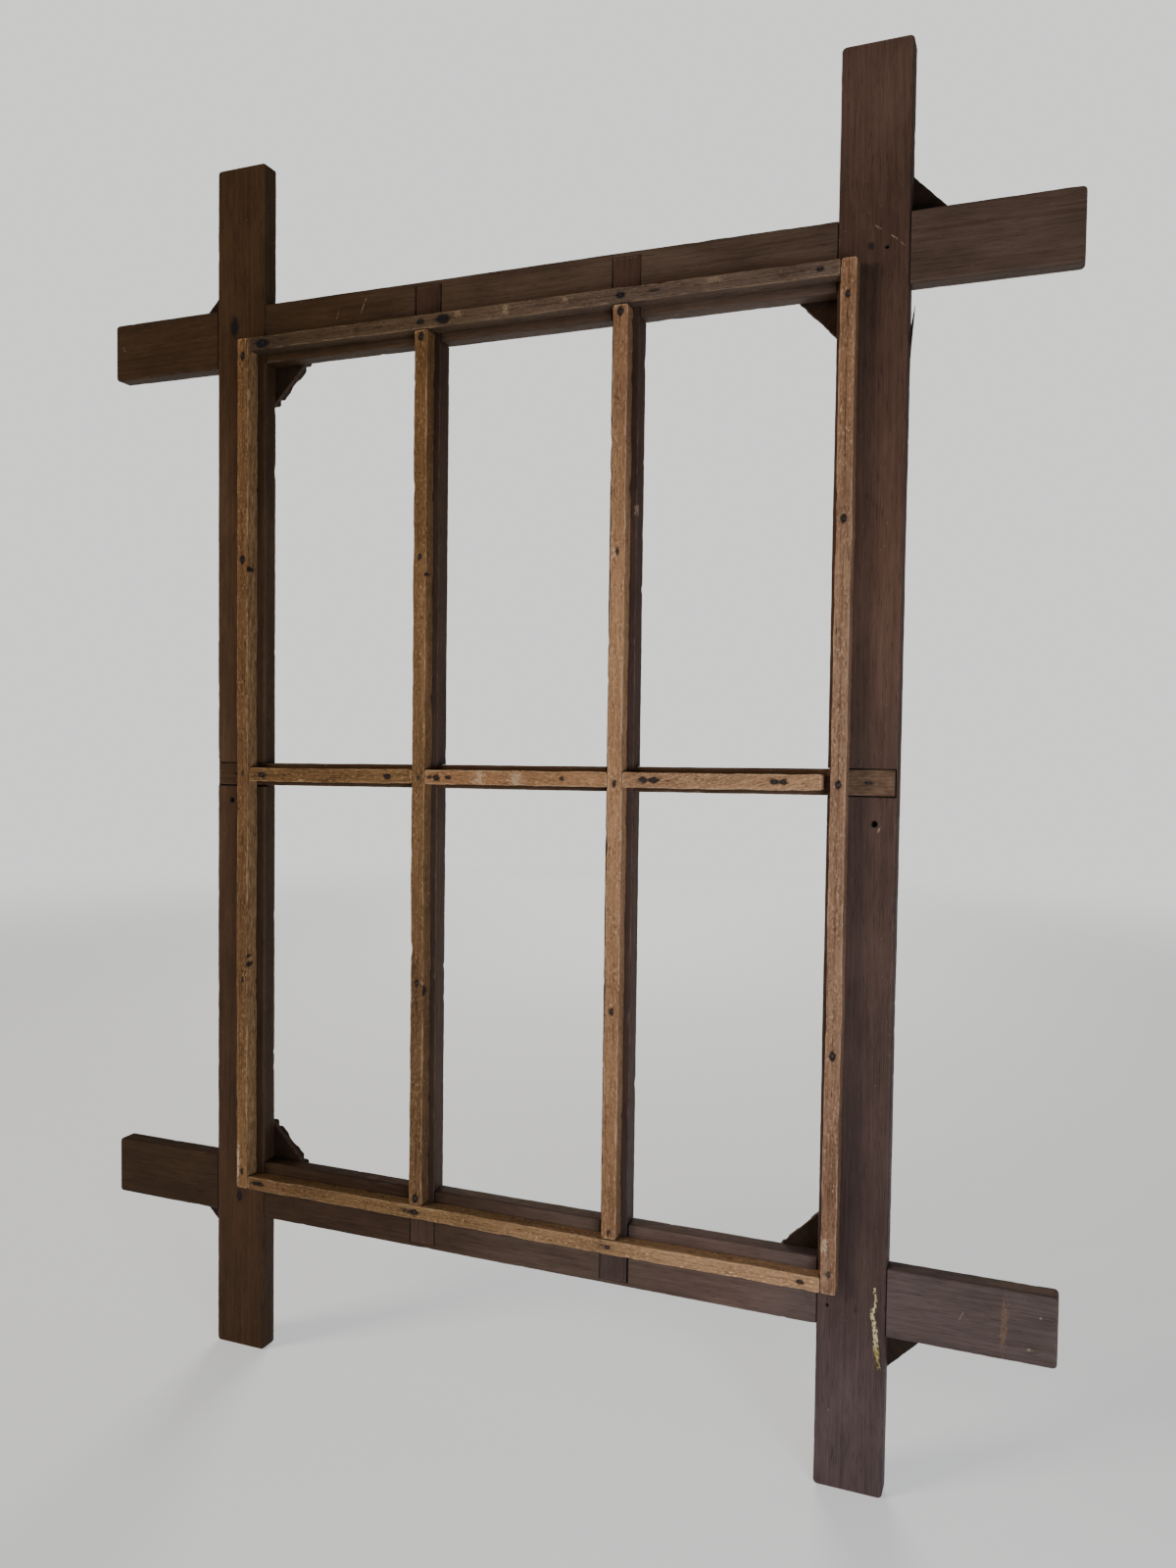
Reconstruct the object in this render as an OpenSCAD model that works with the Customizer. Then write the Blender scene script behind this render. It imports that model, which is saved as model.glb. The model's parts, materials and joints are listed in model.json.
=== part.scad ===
// Criss-cross frame with six openings, standing on the ends of its stiles with its back towards -Y.
// Stiles and rails cross in halved joints, the glazing bars are lapped into their backs, and nailed strips
// fence in the ledges that the panes rest on. A two-layer board lies across the front of each crossing.

/* [Frame stock] */
// Width of the stiles and rails
stock_w = 38; // [32:0.5:48]
// Thickness of the stiles, rails and glazing bars
stock_t = 12; // [10:0.5:18]
// Bevel along the edges of the dark wood
arris = 0.7; // [0.2:0.1:1.5]
// Rounding of the corners at the ends of the arms
end_round = 2; // [0.5:0.5:4]

/* [Opening] */
// Clear width between the stiles
sight_w = 372; // [300:1:480]
// Clear height between the rails
sight_h = 530; // [420:1:700]

/* [Arms] */
// Length that the stiles run past the rails
stile_arm = 91; // [60:1:120]
// Length that the rails run past the stiles
rail_arm = 86; // [60:1:120]
// Distance that the bottom rail sits to the right of the middle
bottom_shift = 1.5; // [0:0.5:4]

/* [Glazing bars] */
// Width of the upright muntins
muntin_w = 17; // [14:0.5:24]
// Width of the level cross bar
cross_w = 14.5; // [12:0.5:22]
// Distance of the cross bar below the middle of the opening
cross_drop = 2; // [0:0.5:20]
// Slope of the cross bar up to the right, in degrees
cross_tilt = 0.65; // [0:0.05:1]
// Wood left between the end of a muntin's lap and the outer edge of the rail
muntin_lip = 3; // [1:0.5:6]
// Wood left between the end of the cross bar's lap and the outer edge of the stile
cross_lip = 1.5; // [1:0.5:6]

/* [Stop strips] */
// Width of the rim strips
rim_stop_w = 8.5; // [6:0.5:11]
// Width of the muntin and cross bar strips
bar_stop_w = 9; // [6:0.5:11]
// Height of the rim strips above the back
rim_stop_h = 10; // [6:0.5:14]
// Height of the muntin and cross bar strips above the back
bar_stop_h = 9; // [5:0.5:14]
// Ledge between the left stile's inner edge and its strip
left_ledge = 6; // [3:0.5:10]
// Ledge between the right stile's inner edge and its strip
right_ledge = 3.5; // [3:0.5:10]
// Ledge between the top rail's inner edge and its strip
top_ledge = 5.5; // [3:0.5:10]
// Ledge between the bottom rail's inner edge and its strip
bottom_ledge = 7; // [3:0.5:10]
// Gap that the short right-hand cross strip leaves before the side strip
cross_stop_gap = 5; // [1:0.5:12]
// Bevel along the edges of the strips
stop_arris = 0.6; // [0.2:0.1:1.2]
// Rounding of the corners at the ends of the strips
stop_round = 1.2; // [0.4:0.2:2]

/* [Corner boards] */
// Length along the diagonal
plate_l = 85; // [76:1:100]
// Width across the diagonal
plate_w = 42; // [38:1:48]
// Thickness of the straight-cut board
plate_base_t = 3.2; // [2:0.1:6]
// Thickness of the notched board on top of it
plate_face_t = 3.2; // [2:0.1:6]
// Corner cut off the notched board, along each edge
plate_clip = 3.2; // [1:0.1:4]
// Distance of each end notch from the middle of the end
notch_at = 14.2; // [11:0.1:15]
// Depth of the end notches
notch_depth = 2.2; // [1:0.1:3]
// Depth of the shallow dip in the middle of each end
dip_depth = 1.2; // [0.4:0.1:2.5]
// Radius of that dip
dip_r = 14; // [8:0.5:30]

/* [Nails] */
// Diameter of a nail's shank
nail_d = 1.3; // [0.8:0.1:2]
// Diameter of a nail's head
nail_head_d = 2.5; // [2:0.1:4]
// Thickness of a nail's head
nail_head_t = 0.7; // [0.3:0.1:1.5]
// Length of a nail's point
nail_point = 2; // [1:0.5:3]
// Depth that a strip's nail goes into the bar behind it
stop_bite = 8; // [5:0.5:9]
// Length of the nails through the laps
lap_nail_l = 9; // [7:0.5:9.5]
// Depth that a corner board's nail goes into the frame
plate_bite = 5; // [4:0.5:8]
// Distance of the end nails from the ends of the rim strips
rim_nail_inset = 11; // [6:0.5:20]
// Distance of the end nails from the ends of the muntin strips
bar_nail_inset = 4; // [3:0.5:12]
// Distance of a corner board's nails from the middle of the crossing
plate_nail_at = 16; // [10:0.5:22]

/* [Hanging holes] */
// Diameter of the empty screw hole in each stile
hang_hole_d = 3.2; // [2:0.1:5]
// Depth of the hole
hang_hole_depth = 8; // [4:0.5:9]
// Distance of the hole from the stile's outer edge
hang_inset = 12; // [6:0.5:16]
// Distance of the hole below the middle of the cross bar
hang_drop = 20; // [14:0.5:60]

/* [Fits] */
// Gap at each side of a lap
lap_clear = 0.2; // [0.05:0.05:0.4]
// Gap where the end of one strip meets the side of another
butt_clear = 0.3; // [0.1:0.05:0.6]
// Gap round a nail
nail_clear = 0.06; // [0.02:0.01:0.15]

/* [Hidden] */
$fn = 32;
dark_wood = "#4a3124";
strip_wood = "#9c6f42";
board_wood = "#3d2a20";
iron = "#55504d";
// Overshoot of a cut past the face that it opens
past = 1;

depth = rim_stop_h + stock_t + plate_base_t + plate_face_t;
y_back = rim_stop_h - depth / 2;
y_mid = y_back + stock_t / 2;
y_front = y_back + stock_t;
y_face = y_front + plate_base_t;
y_end = y_face + plate_face_t;

stile_l = 2 * stile_arm + 2 * stock_w + sight_h;
rail_l = 2 * rail_arm + 2 * stock_w + sight_w;
stile_x = (sight_w + stock_w) / 2;
hang_x = stile_x + stock_w / 2 - hang_inset;
sight_z0 = stile_arm + stock_w;
sight_z1 = sight_z0 + sight_h;
bottom_rail_z = sight_z0 - stock_w / 2;
top_rail_z = sight_z1 + stock_w / 2;
muntin_tongue = stock_w - muntin_lip;
cross_tongue = stock_w - cross_lip;

column_w = (sight_w - 2 * muntin_w) / 3;
muntin_x = (column_w + muntin_w) / 2;
muntin_l = sight_h + 2 * muntin_tongue;
cross_z = (sight_z0 + sight_z1) / 2 - cross_drop;
cross_l = sight_w + 2 * cross_tongue;

// Inner faces of the rim strips
fence_x0 = -sight_w / 2 - left_ledge;
fence_x1 = sight_w / 2 + right_ledge;
fence_z0 = sight_z0 - bottom_ledge;
fence_z1 = sight_z1 + top_ledge;
left_stop_x = fence_x0 - rim_stop_w / 2;
right_stop_x = fence_x1 + rim_stop_w / 2;
top_stop_z = fence_z1 + rim_stop_w / 2;
bottom_stop_z = fence_z0 - rim_stop_w / 2;
fence_x = (fence_x0 + fence_x1) / 2;
fence_z = (fence_z0 + fence_z1) / 2;
side_stop_l = fence_z1 - fence_z0 + 2 * rim_stop_w;
end_stop_l = fence_x1 - fence_x0 - 2 * butt_clear;
bar_stop_l = fence_z1 - fence_z0 - 2 * butt_clear;
muntin_fence = bar_stop_w / 2 + butt_clear;
// Ends of the left, middle and right cross strips
cross_stop_ends = [
    [fence_x0 + butt_clear, -muntin_x - muntin_fence],
    [-muntin_x + muntin_fence, muntin_x - muntin_fence],
    [muntin_x + muntin_fence, fence_x1 - cross_stop_gap]];

// Nails along the upright strips, as shares of the way from one end inset to the other
left_stop_nails = [0, 0.24, 0.495, 0.755, 1];
right_stop_nails = [0, 0.225, 0.5, 0.765, 0.985];
left_muntin_nails = [0, 0.255, 0.495, 0.75, 1];
right_muntin_nails = [0, 0.245, 0.495, 0.745, 1];
// Nails along the left, middle and right cross strips, as shares of their lengths
cross_stop_nails = [[0.08, 0.86], [0.135, 0.765], [0.11, 0.165, 0.775, 0.82]];
// Nails through the crossings as [side, end, x, z], x and z being shares of the stock's width from the middle
crossing_nails = [[-1, 1, -0.14, 0.18], [1, 1, -0.04, 0.08], [1, 1, 0.05, -0.18],
    [-1, -1, -0.02, -0.18], [1, -1, 0.07, -0.18]];
// Nails through the cross bar's tongues as [side, x]
tongue_nails = [[-1, 0], [1, 0.09]];

// Nail spots as [x, z]
function upright_spots(x, length, inset, shares) =
    [for (share = shares) [x, fence_z - length / 2 + inset + (length - 2 * inset) * share]];
function level_spots(z) =
    [for (x = [fence_x0 + rim_nail_inset, -muntin_x, muntin_x, fence_x1 - rim_nail_inset]) [x, z]];
function cross_spot(x) = [x, cross_z + x * tan(cross_tilt)];
function cross_spots(ends, shares) = [for (share = shares) cross_spot(ends[0] + (ends[1] - ends[0]) * share)];
rim_spots = concat(
    upright_spots(left_stop_x, side_stop_l, rim_nail_inset, left_stop_nails),
    upright_spots(right_stop_x, side_stop_l, rim_nail_inset, right_stop_nails),
    level_spots(top_stop_z),
    level_spots(bottom_stop_z));
bar_spots = concat(
    upright_spots(-muntin_x, bar_stop_l, bar_nail_inset, left_muntin_nails),
    upright_spots(muntin_x, bar_stop_l, bar_nail_inset, right_muntin_nails),
    [for (i = [0 : 2]) each cross_spots(cross_stop_ends[i], cross_stop_nails[i])]);
lap_spots = concat(
    [for (n = crossing_nails)
        [n[0] * stile_x + n[2] * stock_w, (n[1] > 0 ? top_rail_z : bottom_rail_z) + n[3] * stock_w]],
    [for (n = tongue_nails) cross_spot(n[0] * stile_x + n[1] * stock_w)]);
plate_nail_step = plate_nail_at / sqrt(2);

module rounded_rect(w, l, r) {
    square([w - 2 * r, l], center = true);
    square([w, l - 2 * r], center = true);
    for (x = [-1, 1], z = [-1, 1])
        translate([x * (w / 2 - r), z * (l / 2 - r)])
            circle(r);
}

// Upright bar of the dark wood, centred on the origin, with bevelled long edges and square ends
module bar(w, l) {
    linear_extrude(l, center = true)
        polygon([for (s = [-1, 1]) each [
            [s * w / 2, -s * (stock_t / 2 - arris)], [s * w / 2, s * (stock_t / 2 - arris)],
            [s * (w / 2 - arris), s * stock_t / 2], [-s * (w / 2 - arris), s * stock_t / 2]]]);
}

// The same bar with the corners of its ends rounded, as the arms are
module arm_bar(l) {
    intersection() {
        bar(stock_w, l);
        rotate([90, 0, 0])
            linear_extrude(stock_t, center = true)
                rounded_rect(stock_w, l, end_round);
    }
}

// Upright strip with its foot on the back of the frame, centred on the origin along its length
module strip(w, h, l) {
    intersection() {
        linear_extrude(l, center = true)
            polygon([[-w / 2, 0], [-w / 2, stop_arris - h], [stop_arris - w / 2, -h],
                [w / 2 - stop_arris, -h], [w / 2, stop_arris - h], [w / 2, 0]]);
        translate([0, -h / 2, 0])
            rotate([90, 0, 0])
                linear_extrude(h, center = true)
                    rounded_rect(w, l, stop_round);
    }
}

// Block that takes away the front or the back half of a bar over a lap of w by h
module lap_cut(x, z, w, h, front) {
    y = front ? y_mid : y_mid - stock_t;
    translate([x - w / 2, y, z - h / 2])
        cube([w, stock_t, h]);
}

// Turns what lies along the level cross bar onto its slope
module on_slope() {
    translate([0, 0, cross_z])
        rotate([0, -cross_tilt, 0])
            translate([0, 0, -cross_z])
                children();
}

// Nail with the top of its head at the origin, driven towards +Y
module nail(l) {
    rotate([-90, 0, 0]) {
        cylinder(h = nail_head_t, d = nail_head_d);
        cylinder(h = l - nail_point, d = nail_d);
        translate([0, 0, l - nail_point])
            cylinder(h = nail_point, d1 = nail_d, d2 = 0);
    }
}

module nail_hole(l) {
    rotate([-90, 0, 0]) {
        translate([0, 0, -past])
            cylinder(h = nail_head_t + past, d = nail_head_d + 2 * nail_clear);
        cylinder(h = l + nail_clear, d = nail_d + 2 * nail_clear);
    }
}

module at_spots(spots, y) {
    for (spot = spots)
        translate([spot[0], y, spot[1]])
            children();
}

// Places a shape of the top right crossing at the crossing on the given side and end
module at_crossing(side, end) {
    translate([side * stile_x, 0, end > 0 ? top_rail_z : bottom_rail_z])
        mirror([side < 0 ? 1 : 0, 0, 0])
            mirror([0, 0, end < 0 ? 1 : 0])
                children();
}

module at_plate_nails() {
    for (side = [-1, 1], end = [-1, 1])
        at_crossing(side, end)
            for (step = [-plate_nail_step, plate_nail_step])
                translate([step, y_end, step])
                    rotate([180, 0, 0])
                        children();
}

module nail_holes() {
    at_spots(rim_spots, y_back - rim_stop_h)
        nail_hole(rim_stop_h + stop_bite);
    at_spots(bar_spots, y_back - bar_stop_h)
        nail_hole(bar_stop_h + stop_bite);
    at_spots(lap_spots, y_back)
        nail_hole(lap_nail_l);
    at_plate_nails()
        nail_hole(plate_base_t + plate_face_t + plate_bite);
}

module stile(side) {
    color(dark_wood)
        difference() {
            translate([side * stile_x, y_mid, stile_l / 2])
                arm_bar(stile_l);
            for (z = [bottom_rail_z, top_rail_z])
                lap_cut(side * stile_x, z, stock_w + 2 * past, stock_w + 2 * lap_clear, true);
            on_slope()
                lap_cut(side * (sight_w / 2 + (cross_tongue + lap_clear - past) / 2), cross_z,
                    cross_tongue + lap_clear + past, cross_w + 2 * lap_clear, false);
            translate([side * hang_x, y_back + hang_hole_depth, cross_z - hang_drop])
                rotate([90, 0, 0])
                    cylinder(h = hang_hole_depth + past, d = hang_hole_d);
            nail_holes();
        }
}

module rail(end) {
    rail_z = end > 0 ? top_rail_z : bottom_rail_z;
    inner_z = end > 0 ? sight_z1 : sight_z0;
    shift = end > 0 ? 0 : bottom_shift;
    color(dark_wood)
        difference() {
            translate([shift, y_mid, rail_z])
                rotate([0, 90, 0])
                    arm_bar(rail_l);
            for (side = [-1, 1]) {
                lap_cut(side * stile_x, rail_z, stock_w + 2 * lap_clear, stock_w + 2 * past, false);
                lap_cut(side * muntin_x, inner_z + end * (muntin_tongue + lap_clear - past) / 2,
                    muntin_w + 2 * lap_clear, muntin_tongue + lap_clear + past, false);
            }
            nail_holes();
        }
}

module muntin(side) {
    shoulder_z = sight_h / 2 - lap_clear;
    color(dark_wood)
        difference() {
            translate([side * muntin_x, y_mid, (sight_z0 + sight_z1) / 2])
                bar(muntin_w, muntin_l);
            for (end = [-1, 1])
                lap_cut(side * muntin_x, (sight_z0 + sight_z1) / 2 + end * (shoulder_z + stock_w / 2),
                    muntin_w + 2 * past, stock_w, true);
            on_slope()
                lap_cut(side * muntin_x, cross_z, muntin_w + 2 * past, cross_w + 2 * lap_clear, true);
            nail_holes();
        }
}

// The laps are cut plumb, across the slope, and stand well clear of the bar above and below it
module cross_bar() {
    shoulder_x = sight_w / 2 - lap_clear;
    color(dark_wood)
        difference() {
            on_slope()
                translate([0, y_mid, cross_z])
                    rotate([0, 90, 0])
                        bar(cross_w, cross_l);
            for (side = [-1, 1]) {
                lap_cut(side * (shoulder_x + stock_w / 2), cross_z, stock_w, 2 * cross_w, true);
                lap_cut(side * muntin_x, cross_z, muntin_w + 2 * lap_clear, 2 * cross_w, false);
            }
            nail_holes();
        }
}

module side_stop(x) {
    color(strip_wood)
        difference() {
            translate([x, y_back, fence_z])
                strip(rim_stop_w, rim_stop_h, side_stop_l);
            nail_holes();
        }
}

module end_stop(z) {
    color(strip_wood)
        difference() {
            translate([fence_x, y_back, z])
                rotate([0, 90, 0])
                    strip(rim_stop_w, rim_stop_h, end_stop_l);
            nail_holes();
        }
}

module muntin_stop(side) {
    color(strip_wood)
        difference() {
            translate([side * muntin_x, y_back, fence_z])
                strip(bar_stop_w, bar_stop_h, bar_stop_l);
            nail_holes();
        }
}

module cross_stop(ends) {
    color(strip_wood)
        difference() {
            on_slope()
                translate([(ends[0] + ends[1]) / 2, y_back, cross_z])
                    rotate([0, 90, 0])
                        strip(bar_stop_w, bar_stop_h, ends[1] - ends[0]);
            nail_holes();
        }
}

// Outline lying flat, its length along X, turned to the diagonal and stood up on the front
module on_diagonal(y, t) {
    translate([0, y + t, 0])
        rotate([90, -45, 0])
            linear_extrude(t)
                children();
}

module plate_base(side, end) {
    color(board_wood)
        difference() {
            at_crossing(side, end)
                on_diagonal(y_front, plate_base_t)
                    square([plate_l, plate_w], center = true);
            nail_holes();
        }
}

// The notched board has clipped corners, and at each end two notches beside a shallow dip
module plate_face(side, end) {
    notch_w = notch_depth * sqrt(2);
    clip_w = plate_clip * sqrt(2);
    color(board_wood)
        difference() {
            at_crossing(side, end)
                on_diagonal(y_face, plate_face_t)
                    difference() {
                        square([plate_l, plate_w], center = true);
                        for (tip = [-1, 1]) {
                            translate([tip * (plate_l / 2 + dip_r - dip_depth), 0])
                                circle(dip_r);
                            for (across = [-1, 1]) {
                                translate([tip * plate_l / 2, across * notch_at])
                                    rotate(45)
                                        square(notch_w, center = true);
                                translate([tip * plate_l / 2, across * plate_w / 2])
                                    rotate(45)
                                        square(clip_w, center = true);
                            }
                        }
                    }
            nail_holes();
        }
}

module rim_stop_nails() {
    color(iron)
        at_spots(rim_spots, y_back - rim_stop_h)
            nail(rim_stop_h + stop_bite);
}

module bar_stop_nails() {
    color(iron)
        at_spots(bar_spots, y_back - bar_stop_h)
            nail(bar_stop_h + stop_bite);
}

module lap_nails() {
    color(iron)
        at_spots(lap_spots, y_back)
            nail(lap_nail_l);
}

module plate_nails() {
    color(iron)
        at_plate_nails()
            nail(plate_base_t + plate_face_t + plate_bite);
}

stile(-1);  // left_stile
stile(1);  // right_stile
rail(1);  // top_rail
rail(-1);  // bottom_rail
muntin(-1);  // left_muntin
muntin(1);  // right_muntin
cross_bar();
side_stop(left_stop_x);  // left_stop
side_stop(right_stop_x);  // right_stop
end_stop(top_stop_z);  // top_stop
end_stop(bottom_stop_z);  // bottom_stop
muntin_stop(-1);  // left_muntin_stop
muntin_stop(1);  // right_muntin_stop
cross_stop(cross_stop_ends[0]);  // left_cross_stop
cross_stop(cross_stop_ends[1]);  // middle_cross_stop
cross_stop(cross_stop_ends[2]);  // right_cross_stop
plate_base(-1, 1);  // top_left_plate_base
plate_base(1, 1);  // top_right_plate_base
plate_base(-1, -1);  // bottom_left_plate_base
plate_base(1, -1);  // bottom_right_plate_base
plate_face(-1, 1);  // top_left_plate_face
plate_face(1, 1);  // top_right_plate_face
plate_face(-1, -1);  // bottom_left_plate_face
plate_face(1, -1);  // bottom_right_plate_face
rim_stop_nails();
bar_stop_nails();
lap_nails();
plate_nails();
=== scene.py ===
import json
import math

import bpy
import numpy as np
from mathutils import Matrix, Vector


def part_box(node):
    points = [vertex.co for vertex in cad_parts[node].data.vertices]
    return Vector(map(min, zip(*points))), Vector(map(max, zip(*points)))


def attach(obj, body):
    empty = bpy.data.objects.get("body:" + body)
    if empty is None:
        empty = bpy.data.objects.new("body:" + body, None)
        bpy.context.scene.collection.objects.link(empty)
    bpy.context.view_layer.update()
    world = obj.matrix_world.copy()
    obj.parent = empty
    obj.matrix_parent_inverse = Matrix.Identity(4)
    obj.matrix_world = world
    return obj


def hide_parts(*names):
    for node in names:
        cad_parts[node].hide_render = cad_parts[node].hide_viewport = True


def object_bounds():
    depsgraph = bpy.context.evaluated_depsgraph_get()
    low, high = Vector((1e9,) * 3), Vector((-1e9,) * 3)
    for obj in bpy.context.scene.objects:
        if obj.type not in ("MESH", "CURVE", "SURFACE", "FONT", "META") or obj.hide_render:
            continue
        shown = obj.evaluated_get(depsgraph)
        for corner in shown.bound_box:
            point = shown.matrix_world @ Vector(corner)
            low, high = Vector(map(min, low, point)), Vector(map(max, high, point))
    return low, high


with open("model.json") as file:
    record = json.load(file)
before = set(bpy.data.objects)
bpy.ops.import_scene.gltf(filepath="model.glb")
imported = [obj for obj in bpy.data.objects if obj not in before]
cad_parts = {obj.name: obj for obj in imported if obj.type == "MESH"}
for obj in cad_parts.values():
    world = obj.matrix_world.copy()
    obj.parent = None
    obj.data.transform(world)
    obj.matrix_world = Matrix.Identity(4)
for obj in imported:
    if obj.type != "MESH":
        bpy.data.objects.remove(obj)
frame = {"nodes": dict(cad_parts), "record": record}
cad_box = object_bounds()


# Stage: a pale seamless floor that fades into the surround, a large warm light from the left, a cool one
# close by on the lower right and a soft one behind, with the camera at the photograph's viewing angle.
surround = (0.80, 0.80, 0.785)
surround_strength = 1.40
room_light = 0.24
floor_colour = (0.70, 0.71, 0.72)
floor_glow = 0.36
floor_spill = 0.4
floor_radius = 9.0
fade_starts = 0.9
fade_ends = 3.2


def give(tree, node, sockets):
    """Gives each named or numbered input of a node a value or a link. Colours come without their alpha."""
    for name, value in dict(sockets).items():
        socket = node.inputs[name]
        if isinstance(value, bpy.types.NodeSocket):
            tree.links.new(value, socket)
        else:
            socket.default_value = (*value, 1) if socket.type == "RGBA" else value


def put(tree, kind, sockets=(), **options):
    """Adds one node, sets its options, and gives its inputs their values and links."""
    node = tree.nodes.new("ShaderNode" + kind)
    for option, value in options.items():
        setattr(node, option, value)
    give(tree, node, sockets)
    return node


def reckon(tree, operation, *values, clamp=False):
    """One step of arithmetic on values or links."""
    return put(tree, "Math", dict(enumerate(values)), operation=operation, use_clamp=clamp).outputs[0]


def ramp(tree, value, low, high):
    """Rises smoothly from 0 to 1 while the value goes from low to high."""
    sockets = {"Value": value, "From Min": low, "From Max": high}
    return put(tree, "MapRange", sockets, interpolation_type="SMOOTHSTEP").outputs["Result"]


def blend(tree, share, first, second, kind="MIX"):
    """Mixes the second colour into the first."""
    return put(tree, "Mix", {0: share, 6: first, 7: second}, data_type="RGBA", blend_type=kind).outputs[2]


def to_camera(tree, seen, otherwise):
    """One strength for what the camera sees itself, and another for the light that reaches other things."""
    straight = put(tree, "LightPath").outputs["Is Camera Ray"]
    return reckon(tree, "MULTIPLY_ADD", straight, seen - otherwise, otherwise)


def new_material(name):
    material = bpy.data.materials.new(name)
    material.use_nodes = True
    tree = material.node_tree
    return material, tree, tree.nodes["Principled BSDF"]


def ring_faces(index):
    """Quads between each ring of numbered points and the next one, and the rings turned on by one point."""
    turned = np.roll(index, -1, axis=-1)
    corners = [index[..., :-1, :], turned[..., :-1, :], turned[..., 1:, :], index[..., 1:, :]]
    return np.stack(corners, -1).reshape(-1, 4), turned


def floor_disc(radius, rings, spokes):
    """A flat disc: rings of points whose radius grows with the square of their number, joined to a centre."""
    reach = radius * np.linspace(0, 1, rings + 1)[1:, None] ** 2
    angle = 2 * np.pi * np.arange(spokes) / spokes
    points = np.stack([reach * np.cos(angle), reach * np.sin(angle), 0 * reach * angle], -1).reshape(-1, 3)
    index = np.arange(rings * spokes).reshape(rings, spokes)
    quads, turned = ring_faces(index)
    centre = np.full(spokes, rings * spokes)
    fan = np.stack([centre, index[0], turned[0]], -1)
    mesh = bpy.data.meshes.new("floor")
    mesh.from_pydata(np.vstack([points, np.zeros(3)]).tolist(), [], quads[:, ::-1].tolist() + fan.tolist())
    return mesh


floor_finish, tree, shader = new_material("pale_floor")
place = put(tree, "TexCoord").outputs["Object"]
distance = put(tree, "VectorMath", {0: place}, operation="LENGTH").outputs["Value"]
far = ramp(tree, distance, fade_starts, fade_ends)
lit = [channel * surround_strength for channel in surround]
give(tree, shader, {
    "Base Color": blend(tree, far, floor_colour, (0, 0, 0)),
    "Emission Color": blend(tree, far, [floor_glow] * 3, lit),
    "Emission Strength": to_camera(tree, 1, floor_spill),
    "Roughness": 0.55, "Specular IOR Level": 0})
floor = bpy.data.objects.new("floor", floor_disc(floor_radius, 24, 48))
floor.data.materials.append(floor_finish)
bpy.context.scene.collection.objects.link(floor)

world = bpy.data.worlds.new("studio")
world.use_nodes = True
tree = world.node_tree
give(tree, tree.nodes["Background"],
     {"Color": surround, "Strength": to_camera(tree, surround_strength, room_light)})
bpy.context.scene.world = world

middle = (cad_box[0] + cad_box[1]) / 2


def soft_light(name, place, size, spread, power, colour):
    """A square panel of light that faces the middle of the frame and spreads by an angle in degrees."""
    lamp = bpy.data.lights.new(name, "AREA")
    lamp.size = size
    lamp.spread = math.radians(spread)
    lamp.energy = power
    lamp.color = colour
    holder = bpy.data.objects.new(name, lamp)
    holder.location = place
    holder.rotation_euler = (middle - Vector(place)).to_track_quat("-Z", "Y").to_euler()
    bpy.context.scene.collection.objects.link(holder)
    return holder


soft_light("fill_light", (0.60, -0.60, 0.20), 0.28, 110, 2.3, (0.80, 0.90, 1.0))
for panel in (soft_light("key_light", (-2.80, -2.65, 1.40), 1.3, 180, 118, (1.0, 0.92, 0.80)),
              soft_light("back_light", (-0.80, 2.70, 0.55), 1.2, 80, 26, (1.0, 0.97, 0.92))):
    panel.visible_glossy = False

camera = bpy.data.cameras.new("camera")
camera.sensor_fit = "VERTICAL"
camera.sensor_height = 24
camera.lens = 18.28
stand = bpy.data.objects.new("camera", camera)
swing = Matrix.Rotation(math.radians(21.60), 4, "Z")
tilt = Matrix.Rotation(math.radians(90 - 2.28), 4, "X")
roll = Matrix.Rotation(math.radians(0.72), 4, "Z")
stand.matrix_world = Matrix.Translation((0.3052, -0.6615, 0.4176)) @ swing @ tilt @ roll
bpy.context.scene.collection.objects.link(stand)
bpy.context.scene.camera = stand


# Stiles: two upright bars of dark hardwood, planed by hand. The front half of each is cut away where a rail
# crosses it, a pocket in the back takes the end of the cross bar, and an empty screw hole is left beside it.
MM = 0.001
ARC = np.radians([0, 22.5, 45, 67.5, 90])
HAIR = 0.01 * MM
UPRIGHT, LEVEL = 2, 0
GRAIN_TURN = {UPRIGHT: 0, LEVEL: 90}
BACK, FRONT = -1, 1
EDGE_REACH, EDGE_RUB, END_RUB = 1.0 * MM, 0.8 * MM, 1.2 * MM
NICK_DEPTH, EDGE_WAVER = 1.6 * MM, 0.07 * MM


def spaced(low, high, step, marks=()):
    """Values from low to high about one step apart that hit every mark and keep clear of it otherwise."""
    even = np.linspace(low, high, int(round((high - low) / step)) + 1)
    marks = np.array([mark for mark in marks if low <= mark <= high])
    if len(marks):
        clear = np.abs(even[:, None] - marks).min(axis=1) > 0.35 * step
        even = np.concatenate([even[clear], marks])
    return np.unique(even)


def ripple(along, wavelength, seed):
    """Smooth noise between -1 and 1: five sine waves of seeded phase, from one wavelength to a fifth."""
    phase = np.random.default_rng(seed).uniform(0, 2 * np.pi, 5)
    pitch = wavelength / np.array([1, 1.7, 2.6, 3.7, 5.1])
    share = np.array([0.36, 0.25, 0.18, 0.12, 0.09])
    return (share * np.sin(2 * np.pi * along[..., None] / pitch + phase)).sum(axis=-1)


def rise(value):
    """Smooth step: 0 below 0, 1 above 1, and 3v^2 - 2v^3 between."""
    value = np.clip(value, 0, 1)
    return value * value * (3 - 2 * value)


def drawn_in(depth, radius):
    """How far a quarter round draws in at a depth below its end: r - sqrt(r^2 - (r - depth)^2)."""
    rest = np.clip(radius - depth, 0, radius)
    return radius - np.sqrt(radius ** 2 - rest ** 2)


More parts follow.
